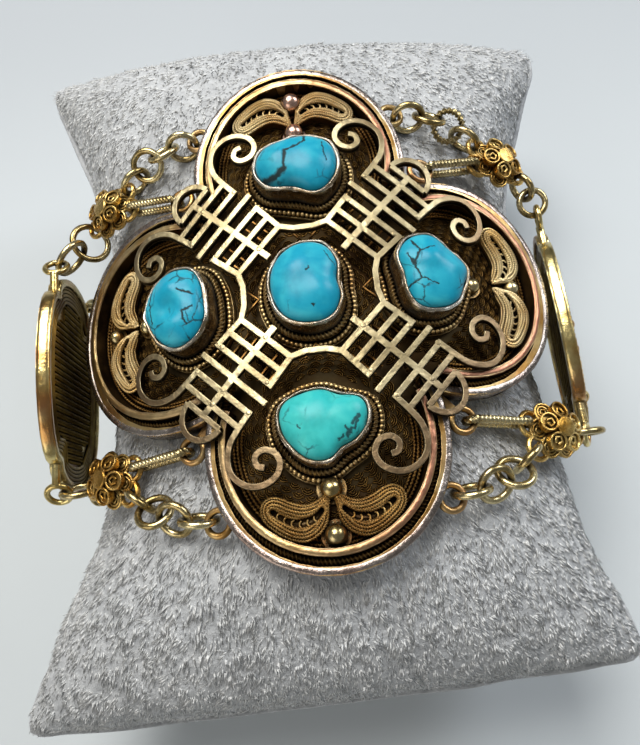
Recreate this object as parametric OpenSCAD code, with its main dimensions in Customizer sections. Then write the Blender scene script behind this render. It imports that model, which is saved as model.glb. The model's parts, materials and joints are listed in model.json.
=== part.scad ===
// Gilt silver filigree bracelet with turquoise, closed round a plush display cushion.
// The big panel has four equal lobes. It is laid out flat, in millimetres round the wrist (s)
// and along the arm (t), and then bent about an axis parallel to Y.
// X runs round the wrist, Y along the arm and Z up from the surface that the cushion stands on.

/* [Central panel] */
// Radius that the panel's underside is bent to
bend_r = 55; // [54:0.5:56]
// Height of the panel's underside above the surface
panel_z = 44.4; // [44.2:0.1:45]
// Distance from the panel's centre to a lobe's centre, laid flat
lobe_offset = 18.6; // [18.5:0.05:18.7]
// Radius of a lobe
lobe_r = 14.4; // [14.3:0.05:14.5]
// Thickness of the back plate
plate_t = 1; // [0.8:0.1:1.1]
// Width of the outer rim
outer_rim_w = 0.9; // [0.8:0.05:1]
// Height of the outer rim above the panel's underside
outer_rim_top = 2.7; // [2.4:0.1:2.9]
// Width of the channel between the two rims
channel_w = 1.1; // [1:0.05:1.2]
// Width of the inner rim
inner_rim_w = 0.8; // [0.7:0.05:0.9]
// Height of the inner rim above the panel's underside
inner_rim_top = 3.2; // [3:0.1:3.2]

/* [Fret] */
// Underside of the fret above the panel's underside
fret_base = 3.25; // [3.25:0.05:3.3]
// Top of the fret above the panel's underside
fret_top = 4.2; // [4.1:0.05:4.3]
// Width of a bar
bar_w = 0.68; // [0.6:0.02:0.72]
// Distance from one row of the lattice to the next
row_pitch = 2; // [1.98:0.01:2.02]
// Distance from the panel's centre to the innermost row, along the diagonal
first_row = 8.1; // [8:0.05:8.2]
// Distance from the panel's centre to the inner end of a spine
spine_start = 6.4; // [6.3:0.1:7]

/* [Stones] */
// Thickness of a bezel cup's wall
bezel_t = 0.45; // [0.4:0.05:0.5]
// Top of a bezel cup above the panel's underside
bezel_top = 5.3; // [5:0.1:5.5]
// Clearance between a stone and its cup
stone_gap = 0.1; // [0.08:0.01:0.15]
// Width of the rope collar round a cup
rope_w = 0.75; // [0.6:0.05:0.8]
// Width of the beaded collar round the rope
bead_w = 0.85; // [0.7:0.05:0.9]

/* [Chains] */
// Radius of a chain's wire
wire_r = 0.4; // [0.36:0.01:0.42]
// Clearance between two links
link_gap = 0.2; // [0.18:0.01:0.22]
// Radius of the rings that are soldered to the panel and the flowers
loop_r = 1.45; // [1.4:0.05:1.5]
// Distance round the wrist from the panel's centre to a flower
flower_s = 30; // [29.8:0.1:30.2]
// Radius of a flower
flower_r = 2.5; // [2.4:0.05:2.6]

/* [Side panels] */
// Half the length of a side panel between its corner cusps
side_half_l = 11.5; // [11.3:0.1:11.7]
// Half the height of a side panel between its corner cusps
side_half_h = 7.4; // [7.2:0.1:7.6]
// How far the two long lobes bulge past the cusps
side_bulge = 4.9; // [4.8:0.1:5]
// How far the two end lobes bulge past the cusps
side_end_bulge = 3.5; // [3.3:0.1:3.6]
// Depth of a side panel's rim
side_rim_d = 1.6; // [1.5:0.1:1.8]
// Width of a side panel's rim
side_rim_w = 0.9; // [0.8:0.05:1]

/* [Cushion] */
// Roundness of the cushion's cross-section: 2 is an ellipse
cushion_round = 2; // [1.95:0.01:2.05]
// Height of the seam that runs round the cushion
seam_z = 25; // [24.5:0.5:25.5]

/* [Hidden] */
CORNERS = ["upper_left", "upper_right", "lower_left", "lower_right"];

// Shift that brings the origin under the middle of the cushion's base
ORIGIN = [1.1, -3.27, 0];

// Name, centre [s, t] laid flat, and radii every 30 degrees from +s towards +t
STONES = [
    ["stone_top", [0, 15.7], [4.9, 5.0, 4.4, 4.0, 4.1, 4.9, 5.0, 4.3, 3.0, 3.0, 4.3, 4.7]],
    ["stone_left", [-16.4, -0.4], [3.9, 4.2, 5.0, 4.8, 4.2, 3.8, 3.8, 3.7, 4.2, 4.9, 4.8, 4.4]],
    ["stone_centre", [-0.4, -0.1], [3.6, 4.4, 5.1, 5.0, 4.6, 4.2, 4.0, 4.2, 4.7, 4.9, 5.1, 4.4]],
    ["stone_right", [14.7, 0.2], [4.0, 3.4, 3.5, 4.6, 4.9, 4.6, 3.6, 4.0, 4.8, 4.6, 4.4, 3.8]],
    ["stone_bottom", [0.2, -17.3], [4.4, 4.9, 3.7, 4.0, 4.4, 5.2, 4.7, 4.1, 3.9, 3.5, 2.8, 3.4]]
];

// Size of a stone's cross-section and its height above the panel's underside
STONE_PROFILE = [[0.9, 1.3], [1, 2.2], [1, 5.2], [0.96, 5.9], [0.85, 6.6], [0.66, 7.2], [0.4, 7.6]];
stone_apex = 7.75;

// Direction of a lobe in degrees, distance to its inner ball, to its outer ball, ball radius, and how
// much farther out and larger than the plain lobe this hand-made one is
LOBES = [
    [0, 21.3, 27.4, 1.05, 0, 0],
    [90, 22.4, 27.6, 0.95, 0, 0],
    [180, 23, 28.6, 1, 0.8, 0.5],
    [270, 23.6, 28.6, 1.25, -0.5, 0.3]
];

// One of the two scrolls of a lobe, from its elbow: distance across the lobe and outwards
SCROLL = [[9.6, 15.9], [10.8, 17.6], [11.2, 19.6], [10.7, 21.3], [9.2, 22.5], [7.4, 22.7], [5.8, 21.9],
    [5.2, 20.5], [5.8, 19.2], [7.1, 18.8], [8, 19.5], [7.8, 20.5], [7, 20.8]];

// One of the two paisley leaves of a lobe, in the same axes
LEAF = [[1.2, 24.6], [0.5, 25.9], [1, 27.5], [2.5, 28.6], [4.5, 28.9], [6.4, 27.9], [7.8, 26.5], [8.1, 25],
    [7.3, 24.2], [6, 24.1], [4.5, 24.8], [2.8, 25.2]];

// Cushion: position along the arm, middle, half width, top and bottom of the cross-section
SECTIONS = [
    [-49.7, -3.5, 40.7, 25.6, 24.4],
    [-48.1, -3.5, 41.6, 32.5, 14],
    [-43.5, -3, 40.5, 38, 2],
    [-34, -2.7, 37.8, 41.9, -0.9],
    [-20, -0.7, 34.4, 42.5, 5],
    [0, -0.8, 32.7, 44.1, 7.2],
    [20, -0.5, 33.9, 42.9, 5],
    [32, -0.5, 37.3, 41.9, -0.9],
    [45.8, -0.5, 41.5, 38, 0.6],
    [52.8, -0.5, 43.4, 31.5, 14],
    [54.8, -0.5, 42.8, 25.6, 24.4]
];
// How far the front and the back edge of the cushion slant for each millimetre across
FRONT_SLANT = 0.032;
BACK_SLANT = -0.066;
cushion_steps = 3;
cushion_sides = 32;

// Name, centre, tilt of the top towards the cushion and turn in its own plane of each side panel, and
// for the rings on its far and on its near upper corner the normal and the way that the ring hangs
SIDES = [
    ["left", [-35.8, -3.4, 32.6], 8.2, 6.3,
        [[[0, 0.643, 0.766], [0, 0.766, -0.643]], [[0, -0.707, 0.707], [0, -0.707, -0.707]]]],
    ["right", [35, -2.5, 26.8], 14.4, 2.2,
        [[[1, 0, 0], [0, 0.8, 0.6]], [[0.966, -0.129, 0.224], [0, -0.866, -0.5]]]]
];

gold = [0.8, 0.66, 0.38];
pale_gold = [0.88, 0.8, 0.58];
dark_gold = [0.55, 0.42, 0.24];
turquoise = [0.2, 0.72, 0.82];
grey_plush = [0.78, 0.79, 0.8];

// Vectors and curves
function unit(v) = v / norm(v);
function left_of(v) = [-v.y, v.x];
function backwards(p) = [for (i = [len(p) - 1:-1:0]) p[i]];
function mix(a, b, u) = a + (b - a) * u;
function cubic(a, b, c, d, u) =
    b + u * (c - a + u * (2 * a - 5 * b + 4 * c - d + u * (3 * (b - c) + d - a))) / 2;
function polar(r, a) = r * [cos(a), sin(a)];
function arc(centre, r, from, to, n) = [for (i = [0:n]) centre + polar(r, mix(from, to, i / n))];

// A smooth curve through the points, open or closed
function through(p, n) = let (m = len(p)) [
    for (i = [0:m - 2], j = [0:n - 1])
        cubic(p[max(i - 1, 0)], p[i], p[i + 1], p[min(i + 2, m - 1)], j / n),
    p[m - 1]
];
function through_closed(p, n) = let (m = len(p)) [
    for (i = [0:m - 1], j = [0:n - 1]) cubic(p[(i + m - 1) % m], p[i], p[(i + 1) % m], p[(i + 2) % m], j / n)
];

// A band of width w along a path, and the outline moved inwards by d
function mitre(before, after) = let (m = unit(left_of(before) + left_of(after))) m / (m * left_of(before));
function beside(p, d) = let (n = len(p)) [
    for (i = [0:n - 1])
        let (after = unit(i < n - 1 ? p[i + 1] - p[i] : p[i] - p[i - 1]))
            p[i] + d * mitre(unit(i > 0 ? p[i] - p[i - 1] : after), after)
];
function band(p, w) = concat(beside(p, w / 2), backwards(beside(p, -w / 2)));
function inset(p, d) = let (n = len(p)) [
    for (i = [0:n - 1]) p[i] + d * mitre(unit(p[i] - p[(i + n - 1) % n]), unit(p[(i + 1) % n] - p[i]))
];

// Bending: a flat point seen from above, and a flat point with its height in space
function turn(s) = s / (bend_r + fret_top) * 180 / PI;
function bent(points, h) = [for (p = points) [(bend_r + h) * sin(turn(p.x)), p.y]];
function in_space(s, t, h) = let (r = bend_r + h) [r * sin(turn(s)), t, panel_z - bend_r + r * cos(turn(s))];

// Cuts what stands on the flat drawing to the curved layer between two heights
module curved(h0, h1) {
    drop = 0.3 * bend_r;
    intersection() {
        translate([0, 0, panel_z - drop]) linear_extrude(height = drop + 10) children();
        translate([0, 0, panel_z - bend_r]) rotate([90, 0, 0]) difference() {
            cylinder(r = bend_r + h1, h = 90, center = true, $fn = 180);
            cylinder(r = bend_r + h0, h = 92, center = true, $fn = 180);
        }
    }
}

// Stands the children on the panel at a flat point
module on_panel(s, t, h) {
    translate([0, t, panel_z - bend_r]) rotate([0, turn(s), 0]) translate([0, 0, bend_r + h]) children();
}

module ring(r, w) {
    rotate_extrude($fn = 32) translate([r, 0]) circle(r = w, $fn = 16);
}

// Central panel
function lobe_centre(k) = let (lobe = LOBES[k % 4]) polar(lobe_offset + lobe[4], lobe[0]);
function lobe_radius(k, r) = r + LOBES[k % 4][5];

// Where lobe k meets the next one, and its angle seen from the middle of lobe k or of the next
function cusp(k, r) = let (
    a = lobe_centre(k), b = lobe_centre(k + 1), ra = lobe_radius(k, r), rb = lobe_radius(k + 1, r),
    d = norm(b - a), u = (b - a) / d, x = (ra * ra - rb * rb + d * d) / (2 * d)
) a + x * u + sqrt(max(0, ra * ra - x * x)) * [u.y, -u.x];
function seen_from(k, p) = let (v = p - lobe_centre(k), d = polar(1, 90 * k)) atan2(d.x * v.y - d.y * v.x, d * v);
function four_lobes(r) = [
    for (k = [0:3])
        each arc(lobe_centre(k), lobe_radius(k, r), 90 * k + seen_from(k, cusp(k + 3, r)),
            90 * k + seen_from(k, cusp(k, r)), 24)
];
function in_lobe(dir, side, p) = p.y * [cos(dir), sin(dir)] + side * p.x * [-sin(dir), cos(dir)];
function lobe_path(dir, side, points) = [for (p = points) in_lobe(dir, side, p)];
function radius_at(radii, a) = let (i = floor(a / 30), n = len(radii))
    cubic(radii[(i + n - 1) % n], radii[i % n], radii[(i + 1) % n], radii[(i + 2) % n], a / 30 - i);
function stone_outline(radii, extra, n) = [
    for (i = [0:n - 1]) let (a = 360 * i / n) (radius_at(radii, a) + extra) * [cos(a), sin(a)]
];

// Middle of a lobe's rim ring, of the ring behind an end loop, and of the fret's end loop
rim_ring = [14, 25.8];
corner_ring = 24.1;
sunk = 0.5;

module setting(st) {
    seat = plate_t - sunk;
    step = 0.8;
    rope_out = stone_gap + bezel_t + rope_w;
    on_panel(st[1].x, st[1].y, 0) difference() {
        union() {
            translate([0, 0, sunk]) linear_extrude(height = bezel_top - sunk)
                polygon(stone_outline(st[2], stone_gap + bezel_t, 36));
            translate([0, 0, sunk]) linear_extrude(height = seat + 2 * step)
                polygon(stone_outline(st[2], rope_out, 36));
            translate([0, 0, sunk - 0.1]) linear_extrude(height = seat + step)
                polygon(stone_outline(st[2], rope_out + bead_w, 36));
        }
        translate([0, 0, plate_t + 0.1]) linear_extrude(height = bezel_top)
            polygon(stone_outline(st[2], stone_gap, 36));
    }
}

module lobe_ornament(lobe) {
    r = lobe[3];
    for (d = [lobe[1], lobe[2]]) {
        at = in_lobe(lobe[0], 1, [0, d]);
        on_panel(at.x, at.y, plate_t + 0.85 * r) sphere(r = r, $fn = 32);
        on_panel(at.x, at.y, plate_t - sunk) cylinder(r = 1.35 * r, h = sunk + 0.5, $fn = 32);
    }
}

module centre_panel() {
    inner_out = lobe_r - outer_rim_w - channel_w;
    rim_span = 112;
    leaf_floor = 1.7;
    leaf_top = 2.3;
    leaf_rim = 0.42;
    leaf = through_closed(LEAF, 2);
    color(dark_gold) union() {
        curved(0, plate_t) polygon(bent(four_lobes(lobe_r), plate_t));
        curved(plate_t - sunk, outer_rim_top) difference() {
            polygon(bent(four_lobes(lobe_r), plate_t));
            polygon(bent(four_lobes(lobe_r - outer_rim_w), plate_t));
        }
        curved(plate_t - sunk, inner_rim_top) for (k = [0:3]) {
            a = 90 * k;
            r = lobe_radius(k, inner_out);
            inner = arc(lobe_centre(k), r - inner_rim_w, a + rim_span, a - rim_span, 22);
            outer = arc(lobe_centre(k), r, a - rim_span, a + rim_span, 22);
            polygon(bent(concat(outer, inner), inner_rim_top));
        }
        curved(plate_t - sunk, leaf_floor) for (lobe = LOBES, side = [-1, 1])
            polygon(bent(lobe_path(lobe[0], side, leaf), leaf_floor));
        curved(plate_t - sunk, leaf_top) for (lobe = LOBES, side = [-1, 1]) difference() {
            polygon(bent(lobe_path(lobe[0], side, leaf), leaf_floor));
            polygon(bent(lobe_path(lobe[0], side, inset(leaf, -leaf_rim)), leaf_floor));
        }
        for (st = STONES) setting(st);
        for (lobe = LOBES) lobe_ornament(lobe);
        for (x = [-1, 1], y = [-1, 1]) {
            on_panel(x * rim_ring.x, y * rim_ring.y, ring_h) ring(loop_r, wire_r);
            on_panel(x * corner_ring / sqrt(2), y * corner_ring / sqrt(2), ring_h) ring(loop_r, wire_r);
            tab = [[x, y] * 12, [x, y] * (corner_ring - loop_r) / sqrt(2)];
            curved(0.2, 1.4) polygon(bent(band(tab, 1.6), plate_t));
        }
    }
}

// Fret: a lattice on each diagonal, laid out by distance along the diagonal and across it
function on_diagonal(k, u, v) = let (a = 45 + 90 * k) polar(u, a) + polar(v, a + 90);
elbow_half = 4.3;
box_half = 4.2;
hook_half = 4.4;
free_half = 5.2;
end_half = 2.7;
end_bulge = 2.9;
end_bar = 19.6;
wave_dip = 7.9;
function row(i) = first_row + i * row_pitch;

module lattice(k) {
    polygon(bent(band([on_diagonal(k, spine_start, 0), on_diagonal(k, end_bar, 0)], bar_w * 1.15), fret_top));
    bars = [[row(0), 3.9], [row(1), 4.05], [row(3), free_half], [row(5), hook_half], [end_bar, end_half]];
    for (b = bars) {
        ends = [on_diagonal(k, b[0], -b[1]), on_diagonal(k, b[0], b[1])];
        polygon(bent(band(ends, bar_w), fret_top));
    }
    loop = [
        for (i = [0:12])
            let (a = -90 + 15 * i) on_diagonal(k, end_bar + end_bulge * cos(a), end_half * sin(a))
    ];
    polygon(bent(band(loop, bar_w), fret_top));
}

module box_line(k) {
    corner = [on_diagonal(k - 1, row(2), box_half), on_diagonal(k - 1, row(0), 3.9)];
    far = [on_diagonal(k, row(0), -3.9), on_diagonal(k, row(2), -box_half), on_diagonal(k, row(2), 0)];
    wave = [for (x = [-1, 1]) in_lobe(90 * k, 1, [x * 1.2, wave_dip + 0.1])];
    polygon(bent(band(concat([on_diagonal(k - 1, row(2), 0)], corner, wave, far), bar_w), fret_top));
}

module elbow_and_scroll(dir, side) {
    start = [[1, 1] * row(4) / sqrt(2), [row(4) - elbow_half, row(4) + elbow_half] / sqrt(2)];
    line = concat([start[0]], through(concat([start[1]], SCROLL), 3));
    polygon(bent(band(lobe_path(dir, side, line), bar_w), fret_top));
}

module fret_overlay() {
    pin_r = 0.42;
    color(pale_gold) union() {
        curved(fret_base, fret_top) {
            for (k = [0:3]) {
                lattice(k);
                box_line(k);
                elbow_and_scroll(90 * k, -1);
                elbow_and_scroll(90 * k, 1);
            }
        }
        for (k = [0:3], d = [row(1), row(3)]) {
            at = on_diagonal(k, d, 0);
            on_panel(at.x, at.y, plate_t + 0.06) cylinder(r = pin_r, h = fret_base - plate_t, $fn = 20);
        }
    }
}

module stone(st) {
    n = 24;
    rings = len(STONE_PROFILE);
    unit_outline = stone_outline(st[2], 0, n);
    points = [
        for (q = STONE_PROFILE, p = unit_outline) [p.x * q[0], p.y * q[0], q[1]],
        [0, 0, STONE_PROFILE[0][1]],
        [0, 0, stone_apex]
    ];
    faces = [
        for (k = [0:rings - 2], i = [0:n - 1])
            let (a = k * n + i, b = k * n + (i + 1) % n) each [[a, a + n, b + n], [a, b + n, b]],
        for (i = [0:n - 1]) [rings * n, i, (i + 1) % n],
        for (i = [0:n - 1]) [rings * n + 1, (rings - 1) * n + (i + 1) % n, (rings - 1) * n + i]
    ];
    color(turquoise) on_panel(st[1].x, st[1].y, 0) polyhedron(points = points, faces = faces);
}

// Corners: side of the panel, side along the arm, place of the flower along the arm, index of the side panel
function across(c) = c[len(c) - 2] == "h" ? 1 : -1;
function along(c) = c[0] == "u" ? 1 : -1;
function flower_t(c) = along(c) > 0 ? 19.7 : -18.6;

// A flower's three soldered rings, as flat offsets from its middle: inner chain, bar link, outer chain
flower_reach = 3.45;
function ring_offset(c, which) =
    let (dir = which == 0 ? [-0.8, 0.6] : which == 1 ? [-0.97, -0.24] : [0.97, along(c) > 0 ? -0.24 : 0.1])
        flower_reach * [across(c) * dir.x, along(c) * dir.y];
function flower_ring(c, which) = [across(c) * flower_s, flower_t(c)] + ring_offset(c, which);
ring_h = 1.3;

module flower(c) {
    petals = 6;
    color(gold) on_panel(across(c) * flower_s, flower_t(c), 0) {
        translate([0, 0, 0.5]) cylinder(r = flower_r * 0.8, h = 1.1, $fn = 36);
        for (i = [0:petals - 1]) rotate([0, 0, 60 * i]) {
            translate([flower_r * 0.68, 0, 0.9]) cylinder(r = flower_r * 0.36, h = 1.1, $fn = 24);
            rotate([0, 0, 30]) translate([flower_r * 0.4, 0, 1.5])
                cylinder(r = flower_r * 0.25, h = 1.4, $fn = 24);
        }
        translate([0, 0, 1.2]) cylinder(r = flower_r * 0.3, h = 2.05, $fn = 24);
        for (which = [0:2]) let (at = ring_offset(c, which))
            translate([at.x, at.y, ring_h]) ring(loop_r, wire_r * 0.9);
    }
}

// Chains: links of equal size that take up the way between the middles of two soldered rings
function outwards(p) = unit([p.x / (34 * 34), 0, (p.z - seam_z) / (22 * 22)]);
function step(path, i) = i < len(path) - 1 ? norm(path[i + 1] - path[i]) : 0;
function way(path) = [for (i = 0, d = 0; i < len(path); d = d + step(path, i), i = i + 1) d];
function at_distance(path, lengths, d) =
    let (i = max([for (j = [0:len(path) - 2]) lengths[j] <= d ? j : 0]))
        mix(path[i], path[i + 1], (d - lengths[i]) / (lengths[i + 1] - lengths[i]));

// Place, direction, outward normal and sideways direction at a distance along the path
function frame_at(path, lengths, d) = let (
    p = at_distance(path, lengths, d),
    ahead = unit(at_distance(path, lengths, d + 0.3) - at_distance(path, lengths, d - 0.3)),
    out = unit(outwards(p) - (outwards(p) * ahead) * ahead)
) [p, ahead, out, cross(ahead, out)];
function angle_of(n, f) = atan2(n * f[3], n * f[2]);

// A smooth way between two rings that leaves and reaches each in the ring's own plane
function between(from, from_n, to, to_n, bow) = let (
    d = to - from, t0 = d - (d * from_n) * from_n, t1 = d - (d * to_n) * to_n
) [
    for (i = [0:24]) let (u = i / 24, v = 1 - u)
        v * v * (1 + 2 * u) * from + v * v * u * t0 + u * u * (3 - 2 * u) * to - u * u * v * t1
            + 16 * u * u * v * v * bow
];
function link_size(total, n, end_r) = wire_r + (total - 2 * (end_r - wire_r) + (n + 1) * link_gap) / (2 * n);

module turned_to(n) {
    rotate([0, acos(n.z), atan2(n.y, n.x)]) children();
}

// Links whose planes turn evenly, by nearly a right angle each, from one end ring to the other
module chain(path, n, end_r, from_n, to_n) {
    lengths = way(path);
    total = lengths[len(path) - 1];
    r = link_size(total, n, end_r);
    first = end_r + r - 2 * wire_r - link_gap;
    pitch = 2 * (r - wire_r) - link_gap;
    start = angle_of(from_n, frame_at(path, lengths, 0));
    turned = angle_of(to_n, frame_at(path, lengths, total)) - start;
    sweep = turned + 180 * round((90 * (n + 1) - turned) / 180);
    for (i = [0:n - 1]) {
        f = frame_at(path, lengths, first + i * pitch);
        a = start + sweep * (i + 1) / (n + 1);
        translate(f[0]) turned_to(unit(cos(a) * f[2] + sin(a) * f[3])) ring(r, wire_r);
    }
}

function panel_normal(s) = [sin(turn(s)), 0, cos(turn(s))];

module inner_chain(c) {
    links = 4;
    bow = [across(c) * 0.4, along(c) * 1.1, 0.6];
    at = flower_ring(c, 0);
    from = in_space(across(c) * rim_ring.x, along(c) * rim_ring.y, ring_h);
    to = in_space(at.x, at.y, ring_h);
    from_n = panel_normal(across(c) * rim_ring.x);
    to_n = panel_normal(across(c) * flower_s);
    color(gold) chain(between(from, from_n, to, to_n, bow), links, loop_r, from_n, to_n);
}

// The point of a ring's wire that lies nearest to another point
function toward(at, n, to) = let (d = to - at) at + loop_r * unit(d - (d * n) * n);

module bar_link(c) {
    at = flower_ring(c, 1);
    near = [across(c) * corner_ring / sqrt(2), along(c) * corner_ring / sqrt(2)];
    ring_a = in_space(near.x, near.y, ring_h);
    ring_b = in_space(at.x, at.y, ring_h);
    from = toward(ring_a, panel_normal(near.x), ring_b);
    to = toward(ring_b, panel_normal(across(c) * flower_s), ring_a);
    end_r = 1.05;
    half = round(500 * norm(to - from)) / 1000 + 2 * wire_r + link_gap - end_r;
    d = unit(to - from);
    color(gold) translate((from + to) / 2) rotate([0, -asin(d.z), atan2(d.y, d.x)]) rotate([90, 0, 0]) {
        for (s = [-1, 1]) {
            translate([-half, s * end_r, 0]) rotate([0, 90, 0]) cylinder(r = wire_r, h = 2 * half, $fn = 20);
            translate([s * half, 0, 0]) rotate([0, 0, -90 * s])
                rotate_extrude(angle = 180, $fn = 32) translate([end_r, 0]) circle(r = wire_r, $fn = 20);
        }
    }
}

// Side panels: a lobed plate with a deep rim, and a post with a ring at each corner cusp
function bulge(from, to, rise, n) = let (half = norm(to - from) / 2, u = unit(to - from), out = left_of(u)) [
    for (i = [0:n - 1])
        let (a = 180 - 180 * i / n) (from + to) / 2 + half * cos(a) * u + rise * sin(a) * out
];
function cartouche() = let (l = side_half_l, h = side_half_h) backwards(concat(
    bulge([-l, h], [l, h], side_bulge, 12), bulge([l, h], [l, -h], side_end_bulge, 10),
    bulge([l, -h], [-l, -h], side_bulge, 12), bulge([-l, -h], [-l, h], side_end_bulge, 10)
));

post_reach = 2.8;
function post_end(y, z) = [0, y * (side_half_l + post_reach), z * (side_half_h - 0.2)];
function post_ring_way(side, y, z) = z > 0 ? side[4][y > 0 ? 0 : 1] : [[0, 1, 0], [0, 0, -1]];
function post_ring_normal(side, y, z) = post_ring_way(side, y, z)[0];
function post_ring(side, y, z) = post_end(y, z) + loop_r * post_ring_way(side, y, z)[1];

// Turns a side panel's own direction or point into the bracelet's
function side_out(side) = side[1].x > 0 ? 1 : -1;
function side_turned(side, v) = let (
    a = side[3], b = -side_out(side) * side[2],
    y = v.y * cos(a) - v.z * sin(a), z = v.y * sin(a) + v.z * cos(a)
) [v.x * cos(b) + z * sin(b), y, z * cos(b) - v.x * sin(b)];
function side_of(c) = SIDES[across(c) > 0 ? 1 : 0];
function side_ring(c, z) = side_of(c)[1] + side_turned(side_of(c), post_ring(side_of(c), along(c), z));
function side_ring_normal(c, z) = side_turned(side_of(c), post_ring_normal(side_of(c), along(c), z));

module side_panel(side) {
    out = side_out(side);
    post_r = 0.55;
    color(dark_gold) translate(side[1]) rotate([0, -out * side[2], 0]) rotate([side[3], 0, 0]) {
        rotate([90, 0, 90]) {
            translate([0, 0, -side_rim_d / 2]) linear_extrude(height = side_rim_d) difference() {
                polygon(cartouche());
                polygon(inset(cartouche(), side_rim_w));
            }
            translate([0, 0, out > 0 ? -0.1 : -0.5]) linear_extrude(height = 0.6)
                polygon(inset(cartouche(), side_rim_w / 2));
        }
        for (i = [0:7]) rotate([45 * i, 0, 0]) translate([out * 1.1, 4.6, 0]) sphere(r = 0.85, $fn = 24);
        for (y = [-9.5, 9.5]) translate([out * 1.1, y, 0]) sphere(r = 1.1, $fn = 24);
        rotate([0, out * 90, 0]) translate([0, 0, 0.3]) cylinder(r1 = 3, r2 = 1.6, h = 1.7, $fn = 36);
        for (y = [-1, 1], z = [-1, 1]) {
            translate(post_end(y, z)) rotate([90 * y, 0, 0])
                cylinder(r = post_r, h = post_reach + 0.5, $fn = 20);
            translate(post_ring(side, y, z)) turned_to(post_ring_normal(side, y, z)) ring(loop_r, wire_r);
        }
    }
}

// How many links each outer chain has
function outer_links(c) = along(c) > 0 ? 2 : 1;

module outer_chain(c) {
    at = flower_ring(c, 2);
    from = in_space(at.x, at.y, ring_h);
    from_n = panel_normal(across(c) * flower_s);
    to = side_ring(c, 1);
    to_n = side_ring_normal(c, 1);
    color(gold) chain(between(from, from_n, to, to_n, [0, 0, 0]), outer_links(c), loop_r, from_n, to_n);
}

// Hidden back: plain chains down the sides and under the cushion to a plain box clasp
CLASP = [-0.5, -2, 2.9];
clasp_half = [6, 7, 1.9];
clasp_ring_y = 5;

module box_clasp() {
    color(gold) translate(CLASP) {
        cube(2 * clasp_half, center = true);
        for (x = [-1, 1], y = [-1, 1])
            translate([x * (clasp_half.x + 1), y * clasp_ring_y, 0]) ring(loop_r, wire_r);
    }
}

module back_chain(c) {
    links = across(c) > 0 ? 10 : 11;
    from = side_ring(c, -1);
    to = CLASP + [across(c) * (clasp_half.x + 1), along(c) * clasp_ring_y, 0];
    e = 2 / cushion_round;
    reach = abs(from.x - CLASP.x);
    drop = (seam_z - CLASP.z) / pow(sin(acos(pow((clasp_half.x + 1) / reach, 1 / e))), e);
    start = asin(signed_pow((seam_z - from.z) / drop, 1 / e));
    side_x = reach / pow(cos(start), e);
    bottom = acos(pow((clasp_half.x + 1) / side_x, 1 / e));
    path = [
        for (i = [0:60])
            let (u = i / 60, a = mix(start, bottom, u))
                [CLASP.x + across(c) * side_x * pow(cos(a), e), mix(from.y, to.y, u * u * (3 - 2 * u)),
                    seam_z - drop * signed_pow(sin(a), e)]
    ];
    color(gold) chain(path, links, loop_r, side_ring_normal(c, -1), [0, 0, 1]);
}

// Cushion: a pillow lofted through its cross-sections, flat only where it rests
function signed_pow(v, e) = sign(v) * pow(abs(v), e);
function section(i) = SECTIONS[min(max(i, 0), len(SECTIONS) - 1)];
function section_at(i, j) =
    cubic(section(i - 1), section(i), section(i + 1), section(i + 2), j / cushion_steps);
function section_points(s) = [
    for (k = [0:cushion_sides - 1])
        let (
            a = 360 * k / cushion_sides, e = 2 / cushion_round,
            x = s[1] + s[2] * signed_pow(cos(a), e),
            up = signed_pow(sin(a), e),
            z = seam_z + up * (up > 0 ? s[3] - seam_z : seam_z - s[4]),
            first = SECTIONS[0][0], last = SECTIONS[len(SECTIONS) - 1][0],
            slant = mix(FRONT_SLANT, BACK_SLANT, (s[0] - first) / (last - first))
        ) [x, s[0] + slant * x, max(0, z)]
];

module display_cushion() {
    stations = [
        for (i = [0:len(SECTIONS) - 2], j = [0:cushion_steps - 1]) section_at(i, j),
        SECTIONS[len(SECTIONS) - 1]
    ];
    n = cushion_sides;
    m = len(stations);
    points = [for (s = stations) each section_points(s)];
    faces = [
        for (k = [0:m - 2], i = [0:n - 1])
            let (a = k * n + i, b = k * n + (i + 1) % n) each [[a, b, b + n], [a, b + n, a + n]],
        [for (i = [n - 1:-1:0]) i],
        [for (i = [0:n - 1]) (m - 1) * n + i]
    ];
    color(grey_plush) polyhedron(points = points, faces = faces);
}

translate(ORIGIN) {
    display_cushion();
    centre_panel();
    fret_overlay();
    box_clasp();
    for (st = STONES) stone(st);
    for (side = SIDES) side_panel(side);
    for (c = CORNERS) {
        flower(c);
        bar_link(c);
        inner_chain(c);
        outer_chain(c);
        back_chain(c);
    }
}
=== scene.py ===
"""Dresses the filigree bracelet and the plush cushion that it is shown on.

Pieces are modelled in millimetres in the maker's own layout: flat for what sits on the bent panel.
A finished piece is then moved into the model's frame, in metres, with its place in its mesh.
"""

import json
import logging
import math
from collections.abc import Callable, Iterator, Sequence
from contextlib import contextmanager
from dataclasses import dataclass
from enum import Enum

import bpy
import numpy as np
from bpy.types import Material, MeshPolygon, Node, NodeSocket, NodeTree, Object
from mathutils import Matrix, Vector, noise

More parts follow.
